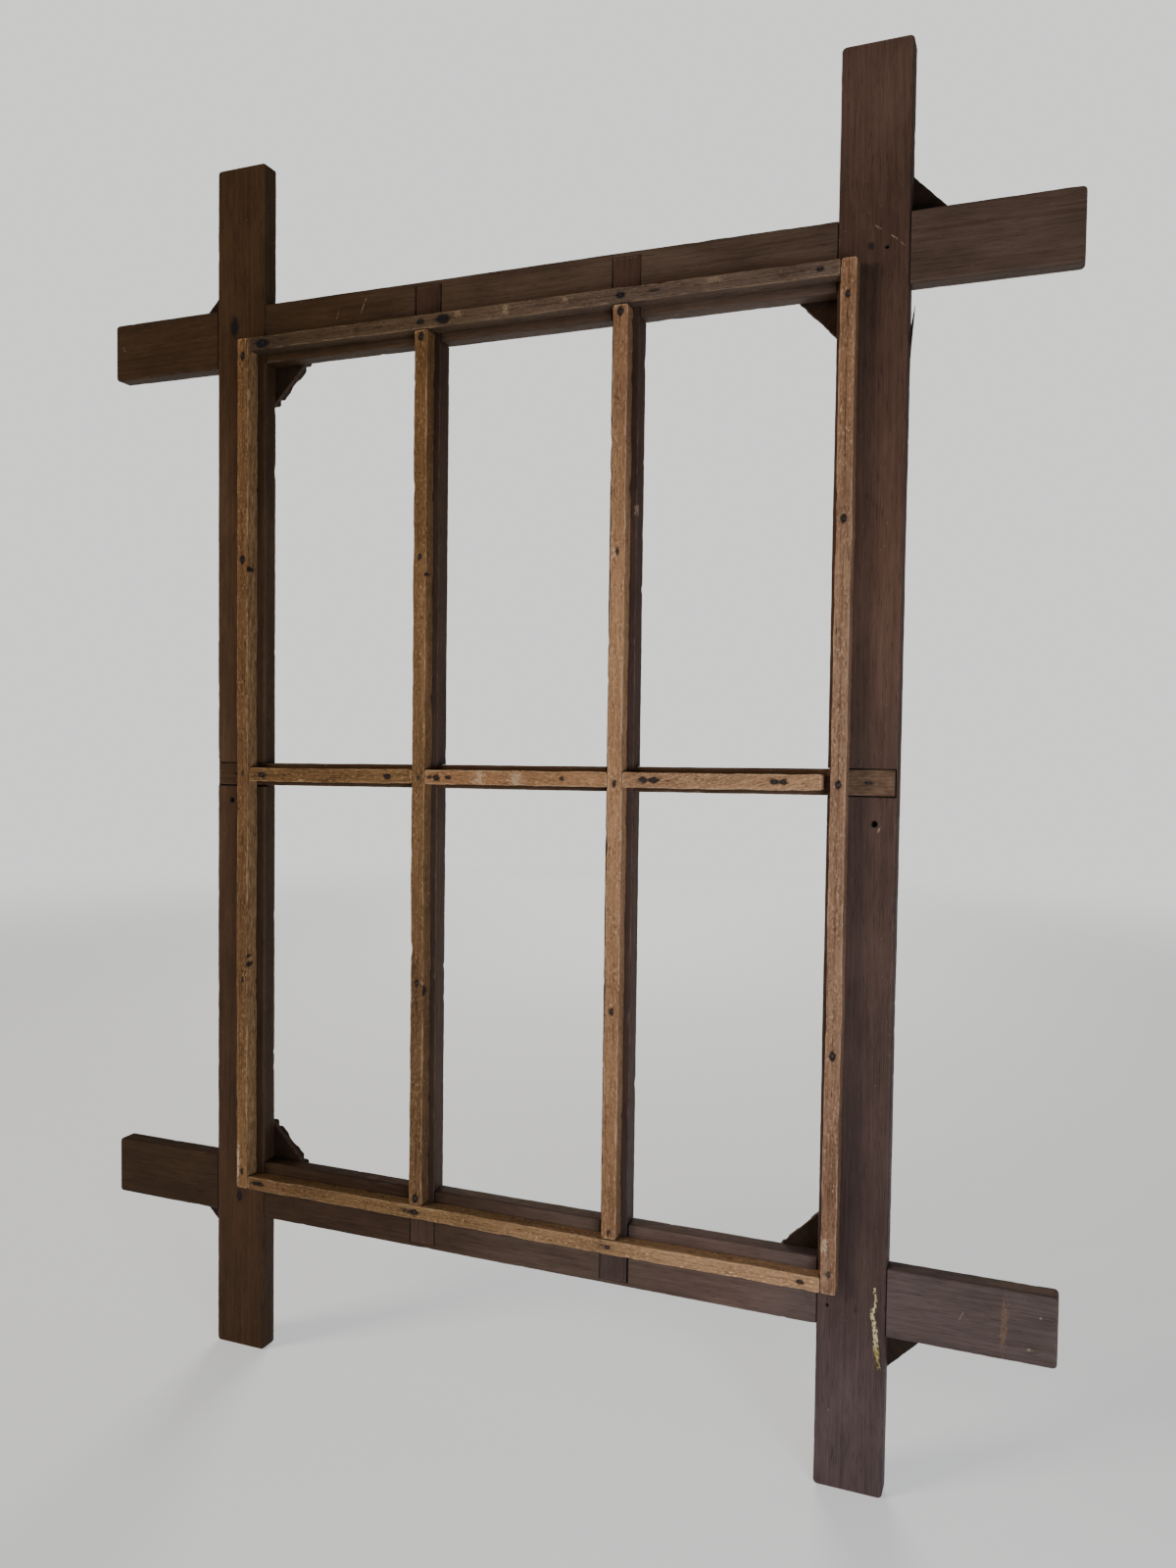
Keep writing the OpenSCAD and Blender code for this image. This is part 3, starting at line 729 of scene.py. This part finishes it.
for side, stile, stop in ((-1, "left_stile", "left_stop"), (1, "right_stile", "right_stop")):
    low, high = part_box(stile)
    inner, tongue_end = (high.x, cross_low.x) if side < 0 else (low.x, cross_high.x)
    rails = [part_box(rail) for rail in ("bottom_rail", "top_rail")]
    laps = [(rail[0].z - SEAM, rail[1].z + SEAM, *WHOLE, FRONT) for rail in rails]
    edges = sloping_edges(cross_box, (inner + tongue_end) / 2)
    pocket = edges[0] - pocket_gaps[stile][0], edges[1] + pocket_gaps[stile][1]
    reach = (tongue_end - SEAM, 0) if side < 0 else (0, tongue_end + SEAM)
    laps.append((*pocket, *reach, BACK))
    crossing_nails = [spot for spot in lap_nails
                      if spot[0] * side > 0 and not pocket[0] < spot[1] < pocket[1]]
    crossing_nails = np.array(sorted(crossing_nails, key=lambda spot: spot[1]))
    dents = [(z, x, *NAIL_DENT) for x, z in crossing_nails]
    holes = [(hole_z, side * hole_x, hole_r, HOLE_DEPTH)] + old_holes[stile]
    bites = [(*pocket, side, BROKEN_LIP)] if side < 0 else []
    points, faces = worn_bar(stile, UPRIGHT, 100 + side, laps, holes, dents, bites)
    if side > 0:
        root = (high.x - 0.4 * MM, low.y + 4 * MM, SPLINTER_Z)
        shard, shard_faces = splinter(root, *SPLINTER_SIZE)
        faces = np.vstack([faces, shard_faces + len(points)])
        points = np.vstack([points, shard])
    seams = [(edge, rail[0].z, edge, rail[1].z) for edge in (low.x, high.x) for rail in rails]
    seams += [(inner, z, tongue_end, z) for z in pocket] + [(tongue_end, pocket[0], tongue_end, pocket[1])]
    grime = seam_dirt_and_foot_shade(points, seams, edges_of(stop, UPRIGHT), 0.8, 0.5 * MM)
    # Painted shade fills the mouths of the holes.
    shaded_mouths = np.array([(x, z, HOLE_SHADE, radius, radius) for z, x, radius, _ in holes])
    grime = np.maximum(grime, near_spots(points, shaded_mouths, UPRIGHT))
    # The splinter, which stands off the bar, is painted dark all over as painted shade.
    shaded_splinter = points[:, 0] > high.x + 0.6 * MM
    grime = np.maximum(grime, shaded_splinter)
    # Painted shade darkens the inner side of the left stile between the rails.
    if side < 0:
        between = (points[:, 2] > rails[0][1].z) & (points[:, 2] < rails[1][0].z)
        grime = np.maximum(grime, SIDE_SHADE * (on_side(points, 0, inner) & between))
    stains = np.hstack([crossing_nails, np.array(crossing_stains[stile]) * [1, MM, MM]])
    dress(stile, UPRIGHT, "dark_wood", points, faces, stile_woods[stile],
          wear=points[:, 3], grime=grime, stain=near_spots(points, stains, UPRIGHT))


# Rails: two level bars of the same dark hardwood. The back half of each is cut away where a stile crosses it,
# and two pockets in its back take the ends of the muntins. The saw has run on past each pocket along its left
# wall, and the top of the bottom rail is painted paler, partly as dust and partly as painted sheen.
AMBER = (0.15, 0.082, 0.045)
KERF_DIRT, KERF_WIDTH = 0.7, 0.35 * MM
# The tints along the rails are partly their own tone and partly painted light and shade: darker and warmer to
# the left, paler and cooler to the right.
rail_woods = {
    "top_rail": dict(
        seed=3, deep=(0.030, 0.0162, 0.0100), light=(0.086, 0.051, 0.034), rubbed=(0.12, 0.072, 0.045),
        pith=(-20, 30),
        tone_and_light_tints=[(-150, 0.66, 0.61, 0.46), (0, 0.96, 0.98, 0.96), (100, 1.08, 1.14, 1.20),
                (270, 1.01, 1.08, 1.22)],
        marks=[(-131, 682, 13, 0.9, 20, PALE, 0.25), (-111, 688, 15, 0.9, 25, PALE, 0.45),
               (-303, 680, 6, 0.9, -30, PALE, 0.35)]),
    "bottom_rail": dict(
        seed=4, deep=(0.029, 0.0175, 0.0125), light=(0.082, 0.053, 0.039), rubbed=(0.15, 0.10, 0.072),
        pith=(26, 32),
        tone_and_light_tints=[(-260, 0.59, 0.49, 0.33), (-90, 0.65, 0.55, 0.47), (50, 1.24, 1.26, 1.32),
                (130, 1.58, 1.55, 1.74), (200, 1.12, 1.20, 1.48)],
        marks=[(285, 110, 40, 5.0, 3, AMBER, 0.5), (263, 110, 8, 1.4, 25, PALE, 0.3),
               (298, 99, 4, 2.2, 80, PALE, 0.5), (303, 117, 2, 1.6, 0, PALE, 0.6)])}
# Each change of the dust and painted sheen along the rail: how much, from which place and over which length
dust_and_sheen_changes = [(0.62, -190, 100), (-0.26, 40, 80), (0.56, 235, 75)]
rail_pockets = {
    "top_rail": {"left_muntin": (0.85 * MM, 0.6 * MM), "right_muntin": (0.35 * MM, 0.3 * MM)},
    "bottom_rail": {"left_muntin": (0.45 * MM, 0.6 * MM), "right_muntin": (0.35 * MM, 1.0 * MM)}}
for rail, stop, inner_side in (("top_rail", "top_stop", -1), ("bottom_rail", "bottom_stop", 1)):
    low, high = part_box(rail)
    inner, outer = (low.z, high.z) if inner_side < 0 else (high.z, low.z)
    stiles = [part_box(stile) for stile in ("left_stile", "right_stile")]
    laps = [(stile[0].x - SEAM, stile[1].x + SEAM, *WHOLE, BACK) for stile in stiles]
    seams = [(edge, low.z, edge, high.z) for stile in stiles for edge in (stile[0].x, stile[1].x)]
    kerfs = []
    for muntin, gaps in rail_pockets[rail].items():
        tongue_low, tongue_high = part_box(muntin)
        tongue_end = tongue_high.z if inner_side < 0 else tongue_low.z
        walls = tongue_low.x - gaps[0], tongue_high.x + gaps[1]
        reach = (0, tongue_end + SEAM) if inner_side < 0 else (tongue_end - SEAM, 1)
        laps.append((*walls, *reach, BACK))
        seams += [(wall, inner, wall, tongue_end) for wall in walls]
        seams.append((walls[0], tongue_end, walls[1], tongue_end))
        kerfs.append((walls[0], tongue_end, walls[0], outer))
    points, faces = worn_bar(rail, LEVEL, 110 + inner_side, laps)
    grime = seam_dirt_and_foot_shade(points, seams, edges_of(stop, LEVEL))
    grime = np.maximum(grime, KERF_DIRT * near_lines(points, kerfs, KERF_WIDTH))
    wear = points[:, 3]
    if inner_side > 0:
        # Dust and painted sheen pale the top face of the bottom rail.
        dust_and_sheen = sum(change * rise((points[:, 0] / MM - start) / run) for change, start, run in dust_and_sheen_changes)
        wear = np.maximum(wear, dust_and_sheen * on_side(points, 2, high.z))
    dress(rail, LEVEL, "dark_wood", points, faces, rail_woods[rail], wear=wear, grime=grime, stain=0 * grime)


# Glazing bars: two upright muntins and one sloping cross bar of dark wood, halved where they cross. Their
# ends are thinned to tongues that lie in the backs of the rails and stiles, the cross bar's held by brads.
# The tints along the muntins are partly their own tone and partly painted light and shade.
bar_woods = {
    "left_muntin": dict(
        seed=5, deep=(0.029, 0.0156, 0.0105), light=(0.081, 0.046, 0.032), rubbed=(0.14, 0.082, 0.05),
        pith=(18, 30), tone_and_light_tints=[(500, 1, 1, 1), (660, 0.72, 0.66, 0.60)]),
    "right_muntin": dict(
        seed=6, deep=(0.030, 0.0170, 0.0125), light=(0.084, 0.050, 0.037), rubbed=(0.16, 0.10, 0.07),
        pith=(-16, 26), marks=[(73, 549, 8, 3.5, 0, PALE, 0.7)],
        tone_and_light_tints=[(130, 0.75, 0.80, 0.95), (220, 1.0, 0.9, 0.9), (540, 1.0, 0.9, 0.9),
                (660, 0.85, 0.78, 0.72)]),
    "cross_bar": dict(
        seed=7, deep=(0.030, 0.0155, 0.0075), light=(0.086, 0.046, 0.025), rubbed=(0.17, 0.105, 0.070),
        pith=(14, 30))}
bar_shape = dict(arris=(0.5, 0.5), ends=(0.3, 0.2), nicks=10)
TONGUE_STAIN, TONGUE_RUB = (1.0, 4.5 * MM, 1.4 * MM), 0.62
rail_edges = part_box("bottom_rail")[1].z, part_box("top_rail")[0].z
stile_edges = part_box("left_stile")[1].x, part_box("right_stile")[0].x
muntins = [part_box(muntin) for muntin in ("left_muntin", "right_muntin")]
for number, muntin in enumerate(("left_muntin", "right_muntin")):
    low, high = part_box(muntin)
    notch = sloping_edges(cross_box, (low.x + high.x) / 2)
    laps = [(-1, rail_edges[0] + SEAM, *WHOLE, FRONT), (rail_edges[1] - SEAM, 2, *WHOLE, FRONT),
            (notch[0] - SEAM, notch[1] + SEAM, *WHOLE, FRONT)]
    points, faces = worn_bar(muntin, UPRIGHT, 120 + number, laps, **bar_shape)
    tongues = [(x, *run) for x in (low.x, high.x)
               for run in ((low.z, x, rail_edges[0]), (rail_edges[1], x, high.z))]
    grime = seam_dirt_and_foot_shade(points, edges_of(muntin, LEVEL) + tongues, edges_of(muntin + "_stop", UPRIGHT))
    dress(muntin, UPRIGHT, "dark_wood", points, faces, bar_woods[muntin],
          wear=points[:, 3], grime=grime, stain=0 * grime)

laps = [(-1, stile_edges[0] + SEAM, *WHOLE, FRONT), (stile_edges[1] - SEAM, 1, *WHOLE, FRONT)]
laps += [(muntin[0].x - SEAM, muntin[1].x + SEAM, *WHOLE, BACK) for muntin in muntins]
tongue_nails = np.array([spot for spot in lap_nails if cross_low.z < spot[1] < cross_high.z])
dents = [(x, z, *NAIL_DENT) for x, z in tongue_nails]
points, faces = worn_bar("cross_bar", LEVEL, 130, laps, (), dents, slope=cross_slope, **bar_shape)
shaded_foot, tongues = [], []
for stop in (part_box(name) for name in ("left_cross_stop", "middle_cross_stop", "right_cross_stop")):
    shaded_foot += [(stop[0].x, start, stop[1].x, end)
             for start, end in zip(sloping_edges(stop, stop[0].x), sloping_edges(stop, stop[1].x))]
for shoulder, end in ((stile_edges[0], cross_low.x), (stile_edges[1], cross_high.x)):
    near, far = (sloping_edges(cross_box, x) for x in (shoulder, end))
    tongues += [(shoulder, start, end, stop) for start, stop in zip(near, far)]
    tongues.append((end, far[0], end, far[1]))
grime = seam_dirt_and_foot_shade(points, tongues, shaded_foot)
stain = near_spots(points, blots(tongue_nails, *TONGUE_STAIN, 51), LEVEL)
rubbed_tongue = TONGUE_RUB * (points[:, 0] > stile_edges[1]) * points[:, 4]
dress("cross_bar", LEVEL, "dark_wood", points, faces, bar_woods["cross_bar"],
      wear=np.maximum(points[:, 3], rubbed_tongue), grime=grime, stain=stain)


# Stop strips: lighter, unvarnished hardwood, ripped by hand so that their edges waver. Four stand round the
# opening, two along the muntins and three along the cross bar, each held by brads through its back.
STRAW, TAN, SOOT = (0.50, 0.37, 0.25), (0.24, 0.165, 0.10), (0.012, 0.010, 0.009)
STRIP_DENT = (1.5 * MM, 0.4 * MM)
STRIP_STAIN = (1.2, 2.7 * MM, 1.7 * MM)
# Strip wear, painted light on the left stop's right side, and painted shade at the foot of the strips.
STRIP_RUB, LEFT_SIDE_LIGHT = 1.25, 0.60
FOOT_SHADE, FOOT_SHARE = 0.45, 0.1
# The strip woods differ partly in their own tone and partly as painted light and shade: those on the right
# paler and cooler, the top stop's darker.
honey = dict(deep=(0.075, 0.036, 0.0135), light=(0.225, 0.120, 0.052), rubbed=(0.40, 0.24, 0.12),
             ring=1.5, waver=5, pore_depth=0.45, roughness=0.62, relief=0.5, sawn=0.75)
sandy = dict(honey, deep=(0.131, 0.069, 0.036), light=(0.346, 0.191, 0.102), rubbed=(0.48, 0.31, 0.19))
pale_cool_strip_wood = dict(honey, deep=(0.094, 0.048, 0.027), light=(0.246, 0.138, 0.080), rubbed=(0.40, 0.25, 0.16))
tawny = dict(honey, deep=(0.070, 0.038, 0.020), light=(0.190, 0.115, 0.064), rubbed=(0.36, 0.23, 0.13))
dark_strip_wood = dict(honey, deep=(0.036, 0.021, 0.013), light=(0.096, 0.062, 0.039), rubbed=(0.21, 0.135, 0.080))
# The tints along the strips are partly their own tone and partly painted light and shade, paler towards the
# right and darker towards the top.
strips = {
    "left_stop": (UPRIGHT, dict(
        honey, seed=11, pith=(9, 22), marks=[(-199.2, 130, 36, 3.2, 0, STRAW, 0.7)],
        tone_and_light_tints=[(130, 0.95, 0.97, 1.02), (300, 0.80, 0.78, 0.82), (640, 0.80, 0.76, 0.76)])),
    "right_stop": (UPRIGHT, dict(
        pale_cool_strip_wood, seed=12, pith=(-8, 18),
        tone_and_light_tints=[(140, 0.86, 0.82, 0.84), (320, 1.06, 1.06, 1.08), (480, 1.16, 1.18, 1.22),
                (640, 1.12, 1.08, 1.00)],
        marks=[(191.3, 140, 12, 5, 0, STRAW, 0.5), (192, 126, 26, 7, 0, STRAW, 0.12)])),
    "top_stop": (LEVEL, dict(
        dark_strip_wood, seed=13, pith=(12, 20), sawn=0.4,
        tone_and_light_tints=[(-170, 0.72, 0.70, 0.65), (-80, 1.04, 1.00, 0.90), (90, 1.30, 1.34, 1.56)],
        marks=[(-39, 671, 6, 8, 0, TAN, 0.5), (-7, 669.5, 9, 7, 0, TAN, 0.6),
               (31, 671, 5, 6, 0, TAN, 0.45), (120, 671, 5, 14, 0, TAN, 0.4)])),
    "bottom_stop": (LEVEL, dict(
        tawny, seed=14, pith=(10, 26),
        tone_and_light_tints=[(-160, 0.88, 0.80, 0.66), (-80, 1.22, 1.20, 0.98), (60, 1.62, 1.56, 1.45),
                (140, 2.15, 2.10, 2.05)])),
    "left_muntin_stop": (UPRIGHT, dict(
        honey, seed=15, pith=(14, 18), marks=[(-65.3, 125, 9, 1.3, 0, SOOT, 0.9)],
        tone_and_light_tints=[(200, 0.72, 0.73, 0.80), (430, 0.94, 0.94, 0.97), (620, 0.80, 0.77, 0.72)])),
    "right_muntin_stop": (UPRIGHT, dict(
        sandy, seed=16, pith=(-12, 24),
        tone_and_light_tints=[(150, 0.80, 0.76, 0.72), (430, 1.10, 1.07, 1.03), (560, 1.06, 1.03, 1.00),
                (620, 0.74, 0.70, 0.68)],
        marks=[(64.6, 662, 9, 1.2, 0, SOOT, 0.9), (64.6, 125, 8, 1.2, 0, SOOT, 0.8),
               (64.6, 523, 9, 1.2, 3, SOOT, 0.6), (62, 521, 5, 2.6, 25, STRAW, 0.7),
               (62.5, 525.5, 4, 2.2, -20, STRAW, 0.7)])),
    "left_cross_stop": (LEVEL, dict(
        honey, seed=17, pith=(10, 16), lean=(3, 4),
        tone_and_light_tints=[(-190, 0.82, 0.82, 0.80), (-70, 0.82, 0.82, 0.80)])),
    "middle_cross_stop": (LEVEL, dict(
        sandy, seed=18, pith=(-9, 16), lean=(4, -3),
        tone_and_light_tints=[(-60, 0.95, 0.87, 0.76), (60, 0.98, 0.92, 0.84)],
        marks=[(-23, 391.7, 12, 11, 0, STRAW, 0.45), (2, 392, 12, 12, 0, STRAW, 0.4)])),
    "right_cross_stop": (LEVEL, dict(sandy, seed=19, pith=(8, 14), lean=(6, 15)))}
smudges = {
    "top_stop": [(-181, 668.3, 1.4, 5.5, 3.0), (-49, 668.6, 1.3, 5.5, 3.0), (85, 669, 0.8, 5.0, 1.6),
                 (-110, 668.3, 0.5, 5.0, 3.0)],
    "bottom_stop": [(-184, 118, 1.0, 6.0, 2.0), (-70, 118, 0.7, 9.0, 2.4), (63, 118, 0.6, 8.0, 2.4)],
    "left_stop": [(-192, 264, 1.5, 1.8, 0.7), (-192, 269.5, 1.4, 1.2, 0.7), (-192, 524, 1.6, 1.8, 0.7)],
    "left_muntin_stop": [(-65, 250, 0.9, 1.2, 0.9), (-63, 489.5, 1.0, 1.3, 0.9), (-60.5, 516, 1.3, 1.3, 0.8),
                         (-60.3, 258, 1.2, 3.5, 0.6)],
    "left_cross_stop": [(-181, 390, 1.0, 4.0, 2.2), (-164, 390.2, 0.6, 3.0, 1.2)],
    "middle_cross_stop": [(-57, 391.4, 0.9, 3.5, 1.6), (-52, 391, 1.2, 3.0, 2.6),
                          (-44, 391.5, 0.9, 3.0, 1.2)],
    "right_cross_stop": [(82.5, 393, 1.1, 3.5, 2.2), (90, 393, 0.9, 3.5, 1.6), (97, 393.2, 0.7, 2.5, 0.9)]}
for number, (stop, (along, wood)) in enumerate(strips.items()):
    low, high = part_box(stop)
    spots = np.concatenate([rim_nails, bar_nails])
    spots = spots[((spots >= [low.x, low.z]) & (spots <= [high.x, high.z])).all(axis=1)]
    order = [1, 0] if along == UPRIGHT else [0, 1]
    dents = [(*spot[order], *STRIP_DENT) for spot in spots]
    points, faces = worn_bar(stop, along, 140 + number, (), (), dents, arris=(0.4, 0.1), ends=(1.2, 0.4),
                             wander=0.35, nicks=12, step=1.3, sides=6,
                             slope=cross_slope if "cross" in stop else 0)
    stains = np.vstack([blots(spots, *STRIP_STAIN, 60 + number),
                        np.array(smudges.get(stop, np.zeros((0, 5)))) * [MM, MM, 1, MM, MM]])
    # Painted shade darkens each strip's sides towards the bar that it stands on.
    height = (high.y - points[:, 1]) / (high.y - low.y)
    grime = FOOT_SHADE * np.exp(-height / FOOT_SHARE)
    wear = STRIP_RUB * points[:, 3]
    # Painted light pales the right side of the left stop.
    if stop == "left_stop":
        wear = np.maximum(wear, LEFT_SIDE_LIGHT * on_side(points, 0, high.x))
    dress(stop, along, "strip_wood", points, faces, wood,
          wear=wear, grime=grime, stain=near_spots(points, stains, along))


# Corner boards: across the front of each crossing lies a straight-cut thin board, and on it a second one with
# whittled ends, two notches beside a shallow dip and clipped corners. Both are nailed through into the frame.
board_length, board_width = 85 * MM, 42 * MM
clip, notch_at, notch_depth = 3.2 * MM, 14.2 * MM, 2.2 * MM
dip_depth, dip_radius = 1.2 * MM, 14 * MM
board_sides = 3
back_round, front_round, end_round = 0.4 * MM, 0.5 * MM, 0.45 * MM
board_stain = (0.8, 2.6 * MM, 2.6 * MM)
LAYER_DARKENING, LAYER_REACH = 0.5, 0.5 * MM
board_wood = dict(deep=(0.009, 0.0046, 0.0026), light=(0.032, 0.0170, 0.0098), rubbed=(0.085, 0.048, 0.030),
                  ring=1.8, pith=(15, 24))
plate_nails = nail_spots("plate_nails", BACK)


def whittled(place):
    """Depth cut from the ends of a notched board at a place across it: the deepest of the dip's arc, the two
    V-notches and the clipped corners, all with 45 degree sides."""
    away = np.abs(place)
    dip = np.sqrt(np.maximum(dip_radius ** 2 - away ** 2, 0)) - (dip_radius - dip_depth)
    notch = notch_depth - np.abs(away - notch_at)
    corner = clip - (board_width / 2 - away)
    return np.maximum.reduce([dip, notch, corner, 0 * away])


def corner_board(node, side, end, notched, seed):
    """Skin of a board whose length lies on the diagonal of a crossing: the cut outline carried from end to
    end, with each line along the board as long as the whittled end leaves it."""
    low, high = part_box(node)
    half = board_width / 2
    dip_half = math.sqrt(dip_radius ** 2 - (dip_radius - dip_depth) ** 2)
    corners = [notch_at, notch_at - notch_depth, notch_at + notch_depth, dip_half, half - clip]
    marks = [sign * corner for corner in corners for sign in (-1, 1)] if notched else []
    across, share, drop, columns = cut_outline(half, back_round, front_round, 0.9 * MM, board_sides, marks)
    edge = 1 - np.array([0, 0.1, 0.25, 0.5, 1.0]) * MM / (board_length / 2)
    stations = spaced(-1, 1, 2 * 1.6 * MM / board_length, np.concatenate([edge, -edge]))
    cut = whittled(across) if notched else 0 * across
    uneven = 0.18 * MM * ripple(across, 11 * MM, seed) * np.sign(stations)[:, None]
    along = stations[:, None] * (board_length / 2 - cut) + uneven * stations[:, None] ** 8
    near_end = (1 - np.abs(stations))[:, None] * board_length / 2 + 0 * along
    width = across + 0.15 * MM * ripple(stations, 30 * MM / board_length, seed + 1)[:, None] + 0 * along
    middle_y, thick = (low.y + high.y) / 2, high.y - low.y
    depth = share * low.y + (1 - share) * high.y + drop + 0 * along
    depth = middle_y + (depth - middle_y) * (1 - 2 * drawn_in(near_end, end_round) / thick)
    border = np.minimum(half - np.abs(width), near_end)
    rings = np.zeros(along.shape + (5,))
    rings[..., 0] = (low.x + high.x) / 2 + side * (along + width) / math.sqrt(2)
    rings[..., 1] = depth
    rings[..., 2] = (low.z + high.z) / 2 + end * (along - width) / math.sqrt(2)
    rings[..., 3] = np.exp(-border / (0.7 * MM)) * (0.6 + 0.4 * ripple(along, 20 * MM, seed + 2))
    rings[..., 4] = share
    return closed_tube(rings, columns, board_sides)


crossings = {"top_left": (-1, 1), "top_right": (1, 1), "bottom_left": (-1, -1), "bottom_right": (1, -1)}
for number, (corner, (side, end)) in enumerate(crossings.items()):
    for layer, notched in (("base", False), ("face", True)):
        node = f"{corner}_plate_{layer}"
        low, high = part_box(node)
        points, faces = corner_board(node, side, end, notched, 200 + 10 * number + notched)
        front_view = np.column_stack([points[:, :4], 1 - points[:, 4]])
        stain = notched * near_spots(front_view, blots(plate_nails, *board_stain, 80 + number), LEVEL)
        # Each board is darker near the face where the two boards meet.
        layer_edge = np.exp(-np.abs(points[:, 1] - (low.y if notched else high.y)) / LAYER_REACH)
        dress(node, -45 * side * end, "board_wood", points, faces,
              dict(board_wood, seed=21 + 2 * number + notched),
              wear=points[:, 3], grime=LAYER_DARKENING * layer_edge, stain=stain)


# Brads: short wire nails with small hammered heads, rubbed bright in the strips and dark under varnish
# elsewhere. They hold the strips to the bars, the laps of the bars and the corner boards to the frame.
HEAD_SINK = 0.22 * MM
NAIL_SPOKES = 14


def brad_outline(length):
    """Half outline of a nail as (radius, depth) from the middle of its domed head to its point."""
    return np.array([(0.35, 0.02), (0.75, 0.08), (1.08, 0.2), (1.22, 0.4), (1.12, 0.62), (0.68, 0.74),
                     (0.65, length / MM - 2.0), (0.32, length / MM - 0.9), (0.05, length / MM - 0.1)]) * MM


def brads(spots, head_y, facing, length, seed):
    """Nails at (x, z) spots: the outline turned about each nail's axis, its head a little out of round."""
    rng = np.random.default_rng(seed)
    outline = brad_outline(length)
    turn = 2 * np.pi * np.arange(NAIL_SPOKES) / NAIL_SPOKES
    squash = rng.uniform(0, 0.09, (len(spots), 1, 1))
    phase = rng.uniform(0, 2 * np.pi, (len(spots), 1, 1))
    head = (outline[:, 1] < 0.7 * MM)[None, :, None]
    radius = outline[None, :, :1] * (1 + head * squash * np.sin(2 * turn + phase)) * \
        np.where(head, rng.uniform(0.86, 1.02, (len(spots), 1, 1)), 1)
    rings = np.zeros(radius.shape + (3,))
    rings[..., 0] = spots[:, 0, None, None] + radius * np.cos(turn)
    rings[..., 1] = head_y + facing * (HEAD_SINK + outline[None, :, 1:])
    rings[..., 2] = spots[:, 1, None, None] + radius * np.sin(turn)
    poles = np.zeros((len(spots), 2, 3))
    poles[..., 0], poles[..., 2] = spots[:, :1], spots[:, 1:]
    poles[..., 1] = head_y + facing * (HEAD_SINK + np.array([0, length - HEAD_SINK]))
    count, levels = len(spots), len(outline)
    index = np.arange(count * levels * NAIL_SPOKES).reshape(count, levels, NAIL_SPOKES)
    quads, turned = ring_faces(index)
    pole = index.size + np.arange(2 * count).reshape(count, 2, 1) + 0 * index[:, :1]
    crown = np.stack([pole[:, 0], turned[:, 0], index[:, 0]], -1).reshape(-1, 3)
    tip = np.stack([pole[:, 1], index[:, -1], turned[:, -1]], -1).reshape(-1, 3)
    points = np.concatenate([rings.reshape(-1, 3), poles.reshape(-1, 3)])
    return points, [quads, crown, tip]


def old_iron(name, bare, rusted, shine):
    """Iron that is bare in patches and rusted between them: the rust dulls its shine and roughens it."""
    material, tree, shader = new_material(name)
    place = put(tree, "TexCoord").outputs["Object"]
    rust, fine = (put(tree, "TexNoise", {"Vector": place, "Scale": scale, "Detail": detail}).outputs[0]
                  for scale, detail in ((900, 3), (4000, 2)))
    rust = ramp(tree, rust, 0.4, 0.65)
    bump = put(tree, "Bump", {"Strength": 0.4, "Distance": 0.15 * MM, "Height": fine})
    give(tree, shader, {
        "Base Color": blend(tree, rust, bare, rusted),
        "Roughness": reckon(tree, "MULTIPLY_ADD", rust, 0.25, 0.42),
        "Metallic": reckon(tree, "MULTIPLY_ADD", rust, -0.75 * shine, shine),
        "Normal": bump.outputs["Normal"]})
    return material


rubbed_iron = old_iron("rubbed_iron", (0.060, 0.056, 0.054), (0.030, 0.014, 0.008), 0.8)
varnished_iron = old_iron("varnished_iron", (0.014, 0.011, 0.010), (0.010, 0.006, 0.004), 0.2)
nail_groups = (("rim_stop_nails", rim_nails, 1, rubbed_iron), ("bar_stop_nails", bar_nails, 1, rubbed_iron),
               ("lap_nails", lap_nails, 1, varnished_iron), ("plate_nails", plate_nails, -1, varnished_iron))
for number, (group, spots, facing, iron) in enumerate(nail_groups):
    low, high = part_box(group)
    head_y = low.y if facing > 0 else high.y
    points, faces = brads(spots, head_y, facing, high.y - low.y - HEAD_SINK, 300 + number)
    add_piece("worn_" + group, points, faces, iron, "iron", group)
